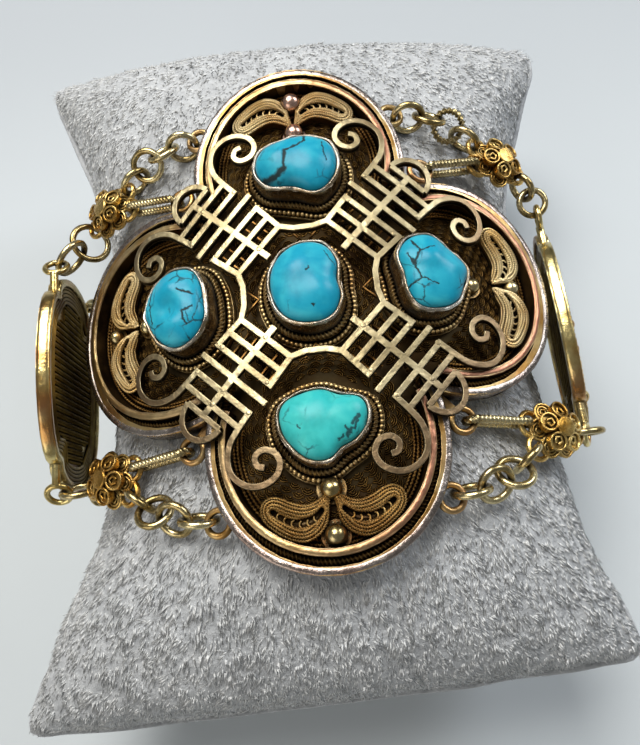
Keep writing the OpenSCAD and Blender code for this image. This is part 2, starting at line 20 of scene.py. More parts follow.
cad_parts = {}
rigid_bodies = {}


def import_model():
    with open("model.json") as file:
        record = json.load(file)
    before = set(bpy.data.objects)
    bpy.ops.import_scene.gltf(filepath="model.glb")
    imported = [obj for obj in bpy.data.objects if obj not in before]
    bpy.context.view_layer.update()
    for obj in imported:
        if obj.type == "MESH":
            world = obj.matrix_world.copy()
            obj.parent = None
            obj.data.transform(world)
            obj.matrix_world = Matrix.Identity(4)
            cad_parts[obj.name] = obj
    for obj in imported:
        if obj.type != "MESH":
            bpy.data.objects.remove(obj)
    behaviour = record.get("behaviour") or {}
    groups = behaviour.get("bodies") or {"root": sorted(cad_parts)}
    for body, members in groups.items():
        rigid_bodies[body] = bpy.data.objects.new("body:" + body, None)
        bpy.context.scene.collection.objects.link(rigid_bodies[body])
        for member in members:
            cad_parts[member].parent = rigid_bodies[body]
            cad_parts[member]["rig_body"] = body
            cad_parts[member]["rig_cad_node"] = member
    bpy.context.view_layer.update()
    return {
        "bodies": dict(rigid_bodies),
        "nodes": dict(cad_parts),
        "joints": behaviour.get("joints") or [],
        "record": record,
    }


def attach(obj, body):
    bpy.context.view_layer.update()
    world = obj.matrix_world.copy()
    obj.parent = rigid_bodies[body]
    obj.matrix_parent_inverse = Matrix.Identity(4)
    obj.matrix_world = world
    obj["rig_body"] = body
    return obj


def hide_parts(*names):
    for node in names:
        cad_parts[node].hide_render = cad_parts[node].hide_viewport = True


LOG = logging.getLogger("bracelet")
ROOT = "root"
WIRE_ANGLE = 60.0
PLATE_ANGLE = 40.0
ORIGIN = np.array([1.1, -3.27, 0.0])
MM = 0.001
NOISE_SEED = 7


class Slot(Enum):
    """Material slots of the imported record."""

    GILT = "gilt_silver"
    STONE = "turquoise"
    PLUSH = "grey_plush"


class Wire(Enum):
    """Kinds of drawn wire, by their cross-section."""

    ROUND = "round"
    ROPE = "two strands twisted"
    SQUARE = "square, twisted"
    STRIP = "flat strip on edge"


def linear(code: str) -> tuple[float, float, float, float]:
    """Turns an sRGB hex colour into a linear one.

    Args:
        code: Six hex digits with a leading hash.

    Returns:
        Linear red, green, blue and a full alpha.
    """
    parts = [int(code[i : i + 2], 16) / 255 for i in (1, 3, 5)]
    red, green, blue = [c / 12.92 if c <= 0.04045 else ((c + 0.055) / 1.055) ** 2.4 for c in parts]
    return red, green, blue, 1.0


def deselect_all() -> None:
    """Leaves object mode with nothing selected."""
    if bpy.context.mode != "OBJECT":
        bpy.ops.object.mode_set(mode="OBJECT")
    bpy.ops.object.select_all(action="DESELECT")


def pick(*objects: Object) -> None:
    """Selects the objects and makes the first of them active.

    Args:
        objects: What is to be worked on.
    """
    deselect_all()
    for thing in objects:
        thing.select_set(True)
    bpy.context.view_layer.objects.active = objects[0]


def fresh(add: Callable[..., set], **options: object) -> Object:
    """Adds one object with nothing else selected.

    Args:
        add: The operator that adds it.
        options: What the operator is told.

    Returns:
        The new object, active and selected.
    """
    deselect_all()
    add(**options)
    return bpy.context.object


def apply_modifier(thing: Object, kind: str, **settings: float) -> None:
    """Gives a mesh one modifier and applies it.

    Args:
        thing: The mesh object.
        kind: The modifier's type.
        settings: Its properties.
    """
    modifier = thing.modifiers.new(kind, kind)
    for name, value in settings.items():
        setattr(modifier, name, value)
    pick(thing)
    bpy.ops.object.modifier_apply(modifier=kind)


@contextmanager
def editing(thing: Object, chosen: Callable[[MeshPolygon], bool] | None = None) -> Iterator[None]:
    """Opens one mesh in edit mode with everything, or only the chosen faces, selected.

    Args:
        thing: The mesh object to edit.
        chosen: Picks faces by their place or normal.

    Yields:
        Nothing; edit mode is left afterwards.
    """
    pick(thing)
    bpy.ops.object.mode_set(mode="EDIT")
    bpy.ops.mesh.select_mode(type="FACE" if chosen else "VERT")
    bpy.ops.mesh.select_all(action="DESELECT" if chosen else "SELECT")
    if chosen:
        bpy.ops.object.mode_set(mode="OBJECT")
        for face in thing.data.polygons:
            face.select = chosen(face)
        bpy.ops.object.mode_set(mode="EDIT")
    yield
    bpy.ops.object.mode_set(mode="OBJECT")


def points_of(thing: Object) -> np.ndarray:
    """Reads the places of a mesh's vertices.

    Args:
        thing: A mesh object.

    Returns:
        One row of x, y and z for each vertex.
    """
    flat = np.empty(len(thing.data.vertices) * 3)
    thing.data.vertices.foreach_get("co", flat)
    return flat.reshape(-1, 3)


def move_points(thing: Object, places: np.ndarray) -> None:
    """Moves a mesh's vertices."""
    thing.data.vertices.foreach_set("co", np.ascontiguousarray(places, float).ravel())
    thing.data.update()


def between(a: np.ndarray, b: np.ndarray, c: np.ndarray, d: np.ndarray, u: np.ndarray) -> np.ndarray:
    """Runs smoothly from b to c, past a before and d after them, as u goes from 0 to 1."""
    return b + u * (c - a + u * (2 * a - 5 * b + 4 * c - d + u * (3 * (b - c) + d - a))) / 2


def smooth_path(knots: Sequence[Sequence[float]], steps: int, closed: bool = False) -> np.ndarray:
    """Draws a smooth line through given knots.

    Args:
        knots: Points of two or three coordinates.
        steps: How many points each stretch between two knots gets.
        closed: Whether the line runs back to its start.

    Returns:
        The points of the line.
    """
    p = np.asarray(knots, float)
    n = len(p)
    if closed:
        a, b, c, d = np.roll(p, 1, 0), p, np.roll(p, -1, 0), np.roll(p, -2, 0)
    else:
        a = np.vstack([p[:1], p[:-2]])
        b, c = p[:-1], p[1:]
        d = np.vstack([p[2:], p[-1:]])
    u = (np.arange(steps) / steps)[None, :, None]
    line = between(*(q[:, None, :] for q in (a, b, c, d)), u).reshape(-1, p.shape[1])
    return line if closed else np.vstack([line, p[n - 1 :]])


def evenly(line: np.ndarray, count: int, closed: bool = False) -> np.ndarray:
    """Spaces points evenly along a line.

    Args:
        line: The line's points.
        count: How many points to give back.
        closed: Whether the line is a loop.

    Returns:
        The evenly spaced points.
    """
    q = np.vstack([line, line[:1]]) if closed else line
    way = np.concatenate([[0], np.cumsum(np.linalg.norm(np.diff(q, axis=0), axis=1))])
    at = np.linspace(0, way[-1], count + 1)[:-1] if closed else np.linspace(0, way[-1], count)
    return np.column_stack([np.interp(at, way, q[:, k]) for k in range(q.shape[1])])


def length_of(line: np.ndarray, closed: bool = False) -> float:
    """Measures a line."""
    q = np.vstack([line, line[:1]]) if closed else line
    return float(np.linalg.norm(np.diff(q, axis=0), axis=1).sum())


def arc(centre: Sequence[float], radius: float, start: float, end: float, count: int) -> np.ndarray:
    """Lays points on a circle's arc."""
    a = np.radians(np.linspace(start, end, count))
    return np.column_stack([centre[0] + radius * np.cos(a), centre[1] + radius * np.sin(a)])


def at_height(line: np.ndarray, height: float) -> np.ndarray:
    """Gives a flat line a height."""
    return np.column_stack([line[:, :2], np.full(len(line), height)])


def inset(line: np.ndarray, distance: float) -> np.ndarray:
    """Moves a closed anticlockwise outline inwards, with mitred corners.

    Args:
        line: The outline's flat points.
        distance: How far inwards.

    Returns:
        The moved outline.
    """
    along = np.roll(line, -1, 0) - line
    along /= np.maximum(np.linalg.norm(along, axis=1, keepdims=True), 1e-9)
    after = np.column_stack([-along[:, 1], along[:, 0]])
    both = after + np.roll(after, 1, 0)
    both /= np.linalg.norm(both, axis=1, keepdims=True)
    return line + distance * both / np.maximum((both * after).sum(1, keepdims=True), 0.4)


def trimmed(line: np.ndarray, distance: float) -> np.ndarray:
    """Moves a closed outline inwards and cuts away the folds that tight bends give.

    Args:
        line: The outline's flat points.
        distance: How far inwards.

    Returns:
        The moved outline without its folds.
    """
    moved = inset(line, distance)
    way = np.linalg.norm(moved[:, None] - line[None], axis=2).min(1)
    return moved[way >= 0.975 * abs(distance)]


def sheet(name: str, lines: Sequence[np.ndarray], closed: bool = True) -> Object:
    """Stretches metal across lines that run side by side.

    Args:
        name: Name of the piece.
        lines: Lines with the same number of points, each next to the one before.
        closed: Whether each line is a loop.

    Returns:
        The sheet as a mesh.
    """
    rows = [np.vstack([line, line[:1]]) if closed else line for line in lines]
    count = len(rows[0])
    piece = fresh(bpy.ops.mesh.primitive_grid_add, x_subdivisions=count - 1, y_subdivisions=len(rows) - 1, size=2)
    piece.name = name
    places = points_of(piece)
    column = np.round((places[:, 0] + 1) / 2 * (count - 1)).astype(int)
    row = np.round((places[:, 1] + 1) / 2 * (len(rows) - 1)).astype(int)
    move_points(piece, np.array(rows)[row, column])
    turn_outwards(piece, 1e-4)
    return piece


def section_of(kind: Wire, radius: float) -> Object:
    """Draws the cross-section that a wire is pulled through.

    Args:
        kind: The kind of wire.
        radius: Half the wire's widest measure.

    Returns:
        A flat closed curve object.
    """
    plate = fresh(bpy.ops.curve.primitive_bezier_circle_add, radius=radius)
    shape = plate.data
    shape.splines.clear()
    corners = {Wire.ROUND: 8, Wire.ROPE: 8, Wire.SQUARE: 8, Wire.STRIP: 4}[kind]
    spline = shape.splines.new("POLY")
    spline.points.add(corners - 1)
    for i, point in enumerate(spline.points):
        a = 2 * math.pi * i / corners
        x, y = math.cos(a), math.sin(a)
        if kind is Wire.ROPE:
            y *= 0.5
        elif kind is Wire.SQUARE:
            x, y = (x, y) if i % 2 == 0 else (0.78 * x, 0.78 * y)
        elif kind is Wire.STRIP:
            x, y = ((1, 1), (-1, 1), (-1, -1), (1, -1))[i]
            x *= 0.35
        point.co = (radius * x, radius * y, 0, 1)
    spline.use_cyclic_u = True
    return plate


def draw_wire(
    name: str, line: np.ndarray, radius: float, kind: Wire = Wire.ROUND, closed: bool = False, lay: float = 1.1
) -> Object:
    """Pulls a wire along a line.

    Args:
        name: Name of the piece.
        line: The points that its middle follows, in millimetres.
        radius: Half its widest measure.
        kind: Its cross-section.
        closed: Whether its ends are soldered together.
        lay: Length of one full turn of a twisted wire.

    Returns:
        The wire as a mesh.
    """
    twisted = kind in (Wire.ROPE, Wire.SQUARE)
    total = length_of(line, closed)
    if twisted:
        turns = max(1, round(total / abs(lay))) * (1 if lay > 0 else -1)
        count = abs(turns) * (6 if kind is Wire.ROPE else 8)
    else:
        turns = 0
        count = max(4, math.ceil(total / max(0.45, 1.1 * radius)))
    path = evenly(line, count, closed)
    section = section_of(kind, radius)
    wire = fresh(bpy.ops.curve.primitive_nurbs_path_add)
    wire.name = name
    shape = wire.data
    shape.splines.clear()
    spline = shape.splines.new("POLY")
    spline.points.add(len(path) - 1)
    spline.points.foreach_set("co", np.column_stack([path, np.ones(len(path))]).ravel())
    if twisted:
        steps = len(path) if closed else len(path) - 1
        spline.points.foreach_set("tilt", 2 * math.pi * turns * np.arange(len(path)) / steps)
    spline.use_cyclic_u = closed
    shape.dimensions = "3D"
    shape.twist_mode = "Z_UP"
    shape.bevel_mode = "OBJECT"
    shape.bevel_object = section
    shape.use_fill_caps = not closed
    pick(wire)
    bpy.ops.object.convert(target="MESH")
    bpy.data.objects.remove(section)
    return bpy.context.object


def join(name: str, *things: Object) -> Object:
    """Solders several meshes into one.

    Args:
        name: Name of the joined piece.
        things: The meshes.

    Returns:
        The joined mesh object.
    """
    pick(*things)
    if len(things) > 1:
        bpy.ops.object.join()
    joined = bpy.context.view_layer.objects.active
    joined.name = name
    return joined


def turn_outwards(thing: Object, merge: float = 0.0) -> None:
    """Merges doubled points and turns a closed shell's faces outwards.

    Args:
        thing: The mesh object.
        merge: Distance within which points are merged.
    """
    with editing(thing):
        if merge:
            bpy.ops.mesh.remove_doubles(threshold=merge)
        bpy.ops.mesh.normals_make_consistent(inside=False)


def copies(name: str, unit: Object, places: Sequence[Matrix]) -> Object:
    """Sets a copy of one modelled shape at every place, as one mesh, and clears the shape away.

    Args:
        name: Name of the piece.
        unit: The shape that repeats.
        places: Where each copy goes.

    Returns:
        The piece with all the copies.
    """
    mesh = unit.data
    co = points_of(unit)
    homogeneous = np.column_stack([co, np.ones(len(co))])
    count = len(places)
    all_points = np.vstack([homogeneous @ np.array(m.transposed()) for m in places])[:, :3]
    corners = np.empty(len(mesh.loops), int)
    mesh.loops.foreach_get("vertex_index", corners)
    starts = np.empty(len(mesh.polygons), int)
    mesh.polygons.foreach_get("loop_start", starts)
    totals = np.empty(len(mesh.polygons), int)
    mesh.polygons.foreach_get("loop_total", totals)
    step = np.arange(count)[:, None]
    result = bpy.data.meshes.new(name)
    result.vertices.add(len(all_points))
    result.vertices.foreach_set("co", all_points.ravel())
    result.loops.add(len(corners) * count)
    result.loops.foreach_set("vertex_index", (corners[None] + step * len(co)).ravel())
    result.polygons.add(len(starts) * count)
    result.polygons.foreach_set("loop_start", (starts[None] + step * len(corners)).ravel())
    result.polygons.foreach_set("loop_total", np.tile(totals, count))
    result.update(calc_edges=True)
    piece = bpy.data.objects.new(name, result)
    bpy.context.scene.collection.objects.link(piece)
    bpy.data.objects.remove(unit)
    return piece


def facing(x: float, y: float, h: float, degrees: float = 0.0, size: float = 1.0) -> Matrix:
    """A place on the flat layout."""
    return Matrix.Translation((x, y, h)) @ Matrix.Rotation(math.radians(degrees), 4, "Z") @ Matrix.Scale(size, 4)


def beads_along(line: np.ndarray, height: float, pitch: float, size: float, closed: bool = True) -> list[Matrix]:
    """Places for a row of beads.

    Args:
        line: The flat line that they follow.
        height: Height of their middles.
        pitch: Distance from one to the next.
        size: Radius of a bead.
        closed: Whether the line is a loop.

    Returns:
        One matrix for each bead.
    """
    count = max(2, round(length_of(line, closed) / pitch))
    rng = np.random.default_rng(count)
    spots = evenly(line[:, :2], count, closed)
    return [facing(x, y, height, 0, size * (1 + 0.08 * rng.uniform(-1, 1))) for x, y in spots]


def granule() -> Object:
    """A bead of one millimetre radius, melted flat where it is soldered down.

    Returns:
        The bead, with a few dozen faces.
    """
    bead = fresh(bpy.ops.mesh.primitive_uv_sphere_add, segments=8, ring_count=6, radius=1)
    with editing(bead):
        bpy.ops.mesh.bisect(plane_co=(0, 0, -0.45), plane_no=(0, 0, 1), clear_inner=True)
        bpy.ops.mesh.select_all(action="SELECT")
        bpy.ops.transform.resize(value=(1, 1, 0.92), center_override=(0, 0, 0))
    return bead


def finish(
    piece: Object, material: Material, angle: float = WIRE_ANGLE, node: str = "", slot: Slot = Slot.GILT
) -> None:
    """Moves a finished piece into the model's frame and dresses it.

    Args:
        piece: The piece, in millimetres.
        material: Its finish.
        angle: Edges flatter than this are smoothed, in degrees.
        node: The CAD node that it stands for, if any.
        slot: The record's material slot; not used.
    """
    pick(piece)
    bpy.ops.object.transform_apply(location=True, rotation=True, scale=True)
    move_points(piece, (points_of(piece) + ORIGIN) * MM)
    bpy.ops.object.shade_smooth_by_angle(angle=math.radians(angle))
    piece.data.materials.clear()
    piece.data.materials.append(material)
    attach(piece, ROOT)
    if node:
        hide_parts(node)
    LOG.info("%s: %d faces, %s", piece.name, len(piece.data.polygons), material.name)


@dataclass(frozen=True)
class Bend:
    """The curve that the flat layout of the panel is bent to."""

    radius: float = 55.0
    top: float = 44.4
    neutral: float = 59.2

    def spot(self, s: float, t: float) -> Matrix:
        """A rigid place on the panel.

        Args:
            s: Distance round the wrist.
            t: Distance along the arm.

        Returns:
            The matrix whose z axis stands on the panel and whose zero is its underside.
        """
        return (
            Matrix.Translation((0, t, self.top - self.radius))
            @ Matrix.Rotation(s / self.neutral, 4, "Y")
            @ Matrix.Translation((0, 0, self.radius))
        )

    def lay(self, piece: Object) -> Object:
        """Bends a piece that was modelled flat.

        Args:
            piece: A mesh in the flat layout.

        Returns:
            The same piece, bent.
        """
        s, t, h = points_of(piece).T
        r = self.radius + h
        a = s / self.neutral
        move_points(piece, np.column_stack([r * np.sin(a), t, self.top - self.radius + r * np.cos(a)]))
        return piece


BEND = Bend()


def add_node(tree: NodeTree, kind: str, inputs: dict | None = None, **settings: object) -> Node:
    """Adds one shader node.

    Args:
        tree: The material's node tree.
        kind: The node's type name without its prefix.
        inputs: Values, sockets or nodes for its sockets, by name or number; a node stands for its first
            output in use.
        settings: Properties of the node.

    Returns:
        The node.
    """
    node = tree.nodes.new("ShaderNode" + kind)
    for name, value in settings.items():
        setattr(node, name, value)
    for name, value in (inputs or {}).items():
        if isinstance(value, Node):
            value = next(socket for socket in value.outputs if socket.enabled)
        if isinstance(value, NodeSocket):
            tree.links.new(value, node.inputs[name])
        else:
            node.inputs[name].default_value = value
    return node


def start_material(name: str) -> tuple[Material, NodeTree, Node]:
    """Starts a material and its millimetre coordinates.

    Args:
        name: The material's name.

    Returns:
        The material, its tree, and the node that gives the Object coordinates in millimetres.
    """
    material = bpy.data.materials.new(name)
    material.use_nodes = True
    tree = material.node_tree
    tree.nodes.clear()
    where = add_node(tree, "TexCoord").outputs["Object"]
    return material, tree, add_node(tree, "VectorMath", {0: where, 1: (1 / MM,) * 3}, operation="MULTIPLY")


@dataclass(frozen=True)
class GiltSilver:
    """Silver coated thinly with fire gilding, which wears to pale silver and blushes to copper.

    The eye sees soft metal with mottled colour, bright rubbed edges, and near-black in the recesses that is partly
    real tarnishing and partly painted shade.
    """

    name: str
    gold: str
    worn: str
    blush: str
    roughness: float = 0.32
    recess: float = 1.3
    recess_mm: float = 0.9
    blush_share: float = 0.3
    # Colour of the real tarnishing, and of the painted shade in the recesses.
    tarnish_and_shade: str = "#17100A"
    edge_mm: float = 0.09
    dent: float = 0.25
    field_top_mm: float = 0.0
    bezel_mm: float = 0.0
    far_mm: float = 0.0
    blush_from_x: float = 0.0
    blush_to_x: float = 0.0

    def build(self) -> Material:
        """Builds the nodes.

        Returns:
            The material.
        """
        material, tree, mm = start_material(self.name)
        blotch = add_node(tree, "TexNoise", {"Vector": mm, "Scale": 0.21, "Detail": 4.0, "Roughness": 0.6})
        tone = add_node(tree, "MapRange", {"Value": blotch, "From Min": 0.4, "From Max": 0.62})
        mottle = add_node(tree, "TexNoise", {"Vector": mm, "Scale": 2.2, "Detail": 5.0, "Roughness": 0.65})
        gilt = add_node(tree, "Mix", {0: tone, 6: linear(self.gold), 7: linear(self.worn)}, data_type="RGBA")
        thin = add_node(
            tree, "TexNoise", {"Vector": mm, "W": 3.7, "Scale": 0.14, "Detail": 3.0}, noise_dimensions="4D"
        )
        blush_at = add_node(
            tree, "MapRange", {"Value": thin, "From Min": 0.46, "From Max": 0.64, "To Max": self.blush_share}
        )
        split = add_node(tree, "SeparateXYZ", {"Vector": mm})
        if self.far_mm:
            plan = add_node(tree, "VectorMath", {0: mm, 1: (1.05, 1, 0)}, operation="MULTIPLY")
            reach = add_node(tree, "VectorMath", {0: plan}, operation="LENGTH")
            ends = {"Value": reach, "From Min": self.far_mm - 5, "From Max": self.far_mm + 2}
            outer = add_node(tree, "MapRange", ends, interpolation_type="SMOOTHSTEP")
            blush_at = add_node(tree, "Math", {0: blush_at, 1: outer}, operation="MAXIMUM")
        if self.blush_to_x:
            ends = {"From Min": self.blush_from_x, "From Max": self.blush_to_x, "To Max": 0.8}
            ends["Value"] = split.outputs["X"]
            rising = add_node(tree, "MapRange", ends, interpolation_type="SMOOTHSTEP")
            blush_at = add_node(tree, "Math", {0: blush_at, 1: rising}, operation="MAXIMUM")
        colour = add_node(tree, "Mix", {0: blush_at, 6: gilt, 7: linear(self.blush)}, data_type="RGBA")
        rounded = add_node(tree, "Bevel", {"Radius": self.edge_mm * MM}, samples=4)
        shape = add_node(tree, "NewGeometry")
        same = add_node(tree, "VectorMath", {0: rounded, 1: shape.outputs["Normal"]}, operation="DOT_PRODUCT")
        edge = add_node(tree, "MapRange", {"Value": same, "From Min": 0.995, "From Max": 0.85, "To Max": 0.75})
        # Painted shade: an ambient-occlusion mask darkens the recesses towards the near-black colour, on top of the
        # real tarnishing there.
        within = {"Distance": self.recess_mm * MM, "Normal": shape.outputs["Normal"]}
        hollow = add_node(tree, "AmbientOcclusion", within, samples=6)
        shade = add_node(tree, "Math", {0: mottle, 1: -0.55, 2: 0.27 + self.recess}, operation="MULTIPLY_ADD")
        deep = add_node(tree, "MapRange", {"Value": hollow.outputs["AO"], "From Min": 0.95, "From Max": 0.2})
        dirt_and_shade = add_node(tree, "Math", {0: deep, 1: shade}, operation="MULTIPLY", use_clamp=True)
        if self.field_top_mm:
            dirt_and_shade = self._add_field(tree, split, dirt_and_shade)
        tarnished_and_shaded = add_node(tree, "Mix", {0: dirt_and_shade, 6: colour, 7: linear(self.tarnish_and_shade)}, data_type="RGBA")
        rubbed_at = add_node(tree, "Math", {0: edge, 1: hollow.outputs["AO"]}, operation="MULTIPLY", use_clamp=True)
        rubbed = add_node(tree, "Mix", {0: rubbed_at, 6: tarnished_and_shaded, 7: linear(self.worn)}, data_type="RGBA")
        top = self._add_bezel(tree, split, rubbed) if self.bezel_mm else rubbed
        dull = add_node(
            tree, "Math", {0: dirt_and_shade, 1: 0.35, 2: self.roughness - 0.1}, operation="MULTIPLY_ADD", use_clamp=True
        )
        patchy = add_node(tree, "Math", {0: mottle, 1: 0.22, 2: dull}, operation="MULTIPLY_ADD", use_clamp=True)
        hammered = add_node(tree, "TexNoise", {"Vector": mm, "Scale": 0.9, "Detail": 6.0, "Roughness": 0.55})
        bump = add_node(
            tree, "Bump", {"Height": hammered, "Strength": self.dent, "Distance": 0.0003, "Normal": rounded}
        )
        shader = add_node(
            tree, "BsdfPrincipled", {"Base Color": top, "Metallic": 1.0, "Roughness": patchy, "Normal": bump}
        )
        add_node(tree, "OutputMaterial", {"Surface": shader})
        return material

    def _height(self, tree: NodeTree, split: Node) -> Node:
        """Finds the height above the bent underside of the panel.

        Args:
            tree: The material's node tree.
            split: The node that gives x, y and z in millimetres.

        Returns:
            The node that gives the height in millimetres.
        """
        x = add_node(tree, "Math", {0: split.outputs["X"], 1: float(ORIGIN[0])}, operation="SUBTRACT")
        z = add_node(tree, "Math", {0: split.outputs["Z"], 1: BEND.top - BEND.radius}, operation="SUBTRACT")
        joined = add_node(tree, "CombineXYZ", {"X": x, "Y": z})
        radius = add_node(tree, "VectorMath", {0: joined}, operation="LENGTH")
        return add_node(tree, "Math", {0: radius, 1: BEND.radius}, operation="SUBTRACT")

    def _add_field(self, tree: NodeTree, split: Node, dirt_and_shade: Node) -> Node:
        """Darkens the back plate, which lies below everything that is rubbed.

        Args:
            tree: The material's node tree.
            split: The node that gives x, y and z in millimetres.
            dirt_and_shade: How dark the recesses are so far.

        Returns:
            dirt_and_shade: How dark the recesses are so far, from tarnishing and painted shade.
        """
        ends = {"From Min": self.field_top_mm + 0.35, "From Max": self.field_top_mm, "To Max": 0.93}
        low = add_node(tree, "MapRange", {"Value": self._height(tree, split)} | ends)
        return add_node(tree, "Math", {0: dirt_and_shade, 1: low}, operation="MAXIMUM")

    def _add_bezel(self, tree: NodeTree, split: Node, below: Node) -> Node:
        """Shows bare fine silver on the bezel cups, above everything else.

        Args:
            tree: The material's node tree.
            split: The node that gives x, y and z in millimetres.
            below: The node with the colour so far.

        Returns:
            The node with the cups' colour added.
        """
        ends = {"From Min": self.bezel_mm, "From Max": self.bezel_mm + 1.6, "To Max": 0.85}
        high = add_node(tree, "MapRange", {"Value": self._height(tree, split)} | ends)
        return add_node(tree, "Mix", {0: high, 6: below, 7: linear("#C9BFB0")}, data_type="RGBA")


Vein = tuple[tuple[float, float], tuple[float, float], float]


@dataclass(frozen=True)
class Turquoise:
    """Tumbled and polished turquoise: opaque, waxy, cloudy blue, with dark matrix in its cracks."""

    name: str
    body: str
    cloud: str
    shade: str
    matrix: str = "#14201F"
    web: float = 0.0

    def build(self, veins: Sequence[Vein], spot: Matrix) -> Material:
        """Builds the nodes.

        Args:
            veins: Start, end and half width of each stretch of matrix, on the stone's own flat axes.
            spot: The stone's place on the panel.

        Returns:
            The material.
        """
        material, tree, mm = start_material(self.name)
        moved = add_node(tree, "VectorMath", {0: mm, 1: tuple(ORIGIN)}, operation="SUBTRACT")
        back = spot.inverted()
        turn = {"Location": back.to_translation(), "Rotation": back.to_euler()}
        own = add_node(tree, "Mapping", {"Vector": moved} | turn, vector_type="POINT")
        cloudy = add_node(tree, "TexNoise", {"Vector": own, "Scale": 0.28, "Detail": 3.0, "Distortion": 0.6})
        pale = add_node(tree, "MapRange", {"Value": cloudy, "From Min": 0.45, "From Max": 0.7, "To Max": 0.8})
        first = add_node(tree, "Mix", {0: pale, 6: linear(self.body), 7: linear(self.cloud)}, data_type="RGBA")
        deeper = add_node(
            tree, "TexNoise", {"Vector": own, "W": 5.0, "Scale": 0.45, "Detail": 5.0}, noise_dimensions="4D"
        )
        dim = add_node(tree, "MapRange", {"Value": deeper, "From Min": 0.48, "From Max": 0.72, "To Max": 0.7})
        second = add_node(tree, "Mix", {0: dim, 6: first, 7: linear(self.shade)}, data_type="RGBA")
        ragged = add_node(tree, "TexNoise", {"Vector": own, "Scale": 1.6, "Detail": 5.0, "Roughness": 0.7})
        centred = add_node(
            tree, "VectorMath", {0: ragged.outputs["Color"], 1: (0.5, 0.5, 0.5)}, operation="SUBTRACT"
        )
        pushed = add_node(tree, "VectorMath", {0: centred, 1: (0.9, 0.9, 0), 2: own}, operation="MULTIPLY_ADD")
        flat = add_node(tree, "VectorMath", {0: pushed, 1: (1, 1, 0)}, operation="MULTIPLY")
        dark: Node | float = 0.0
        for start, end, half in veins:
            near = self._near_stretch(tree, flat, start, end)
            edges = {"Value": near, "From Min": half * 1.9, "From Max": half * 0.55, "To Max": 0.97}
            band = add_node(tree, "MapRange", edges, interpolation_type="SMOOTHSTEP")
            dark = add_node(tree, "Math", {0: dark, 1: band}, operation="MAXIMUM")
        specks = add_node(tree, "TexNoise", {"Vector": own, "Scale": 1.1, "Detail": 8.0, "Roughness": 0.8})
        speck = add_node(tree, "MapRange", {"Value": specks, "From Min": 0.69, "From Max": 0.76, "To Max": 0.7})
        cells = add_node(tree, "TexVoronoi", {"Vector": pushed, "Scale": 0.42}, feature="DISTANCE_TO_EDGE")
        crack = add_node(tree, "MapRange", {"Value": cells, "From Min": 0.045, "From Max": 0.008, "To Max": 0.85})
        where = add_node(
            tree, "TexNoise", {"Vector": own, "W": 9.0, "Scale": 0.3, "Detail": 2.0}, noise_dimensions="4D"
        )
        shown = add_node(
            tree, "MapRange", {"Value": where, "From Min": 0.62 - self.web, "From Max": 0.74 - self.web}
        )
        web = add_node(tree, "Math", {0: crack, 1: shown}, operation="MULTIPLY")
        dark = add_node(tree, "Math", {0: dark, 1: web}, operation="MAXIMUM")
        marks = add_node(tree, "Math", {0: dark, 1: speck}, operation="MAXIMUM")
        third = add_node(tree, "Mix", {0: marks, 6: second, 7: linear(self.matrix)}, data_type="RGBA")
        pits = add_node(tree, "Bump", {"Height": marks, "Strength": 0.25, "Distance": 0.0001}, invert=True)
        rough = add_node(tree, "Math", {0: marks, 1: 0.3, 2: 0.31}, operation="MULTIPLY_ADD")
        shader = add_node(
            tree, "BsdfPrincipled",
            {
                "Base Color": third, "Roughness": rough, "IOR": 1.61, "Specular IOR Level": 0.16,
                "Subsurface Weight": 0.08, "Subsurface Radius": (0.0004, 0.0008, 0.001), "Subsurface Scale": 1.0,
                "Normal": pits,
            },
        )
        add_node(tree, "OutputMaterial", {"Surface": shader})
        return material

    def _near_stretch(self, tree: NodeTree, place: Node, start: Sequence[float], end: Sequence[float]) -> Node:
        """Measures the way to the nearest point of a straight stretch.

        Args:
            tree: The material's node tree.
            place: The shaded point on the stone's flat axes.
            start: Start of the stretch.
            end: End of the stretch.

        Returns:
            The node that gives the distance in millimetres.
        """
        d = (end[0] - start[0], end[1] - start[1], 0.0)
        square = max(d[0] ** 2 + d[1] ** 2, 1e-6)
        offset = add_node(tree, "VectorMath", {0: place, 1: (start[0], start[1], 0)}, operation="SUBTRACT")
        per_length = tuple(c / square for c in d)
        share = add_node(tree, "VectorMath", {0: offset, 1: per_length}, operation="DOT_PRODUCT")
        held = add_node(tree, "Clamp", {"Value": share})
        reached = add_node(tree, "VectorMath", {0: d, "Scale": held}, operation="SCALE")
        return add_node(tree, "VectorMath", {0: offset, 1: reached}, operation="DISTANCE")


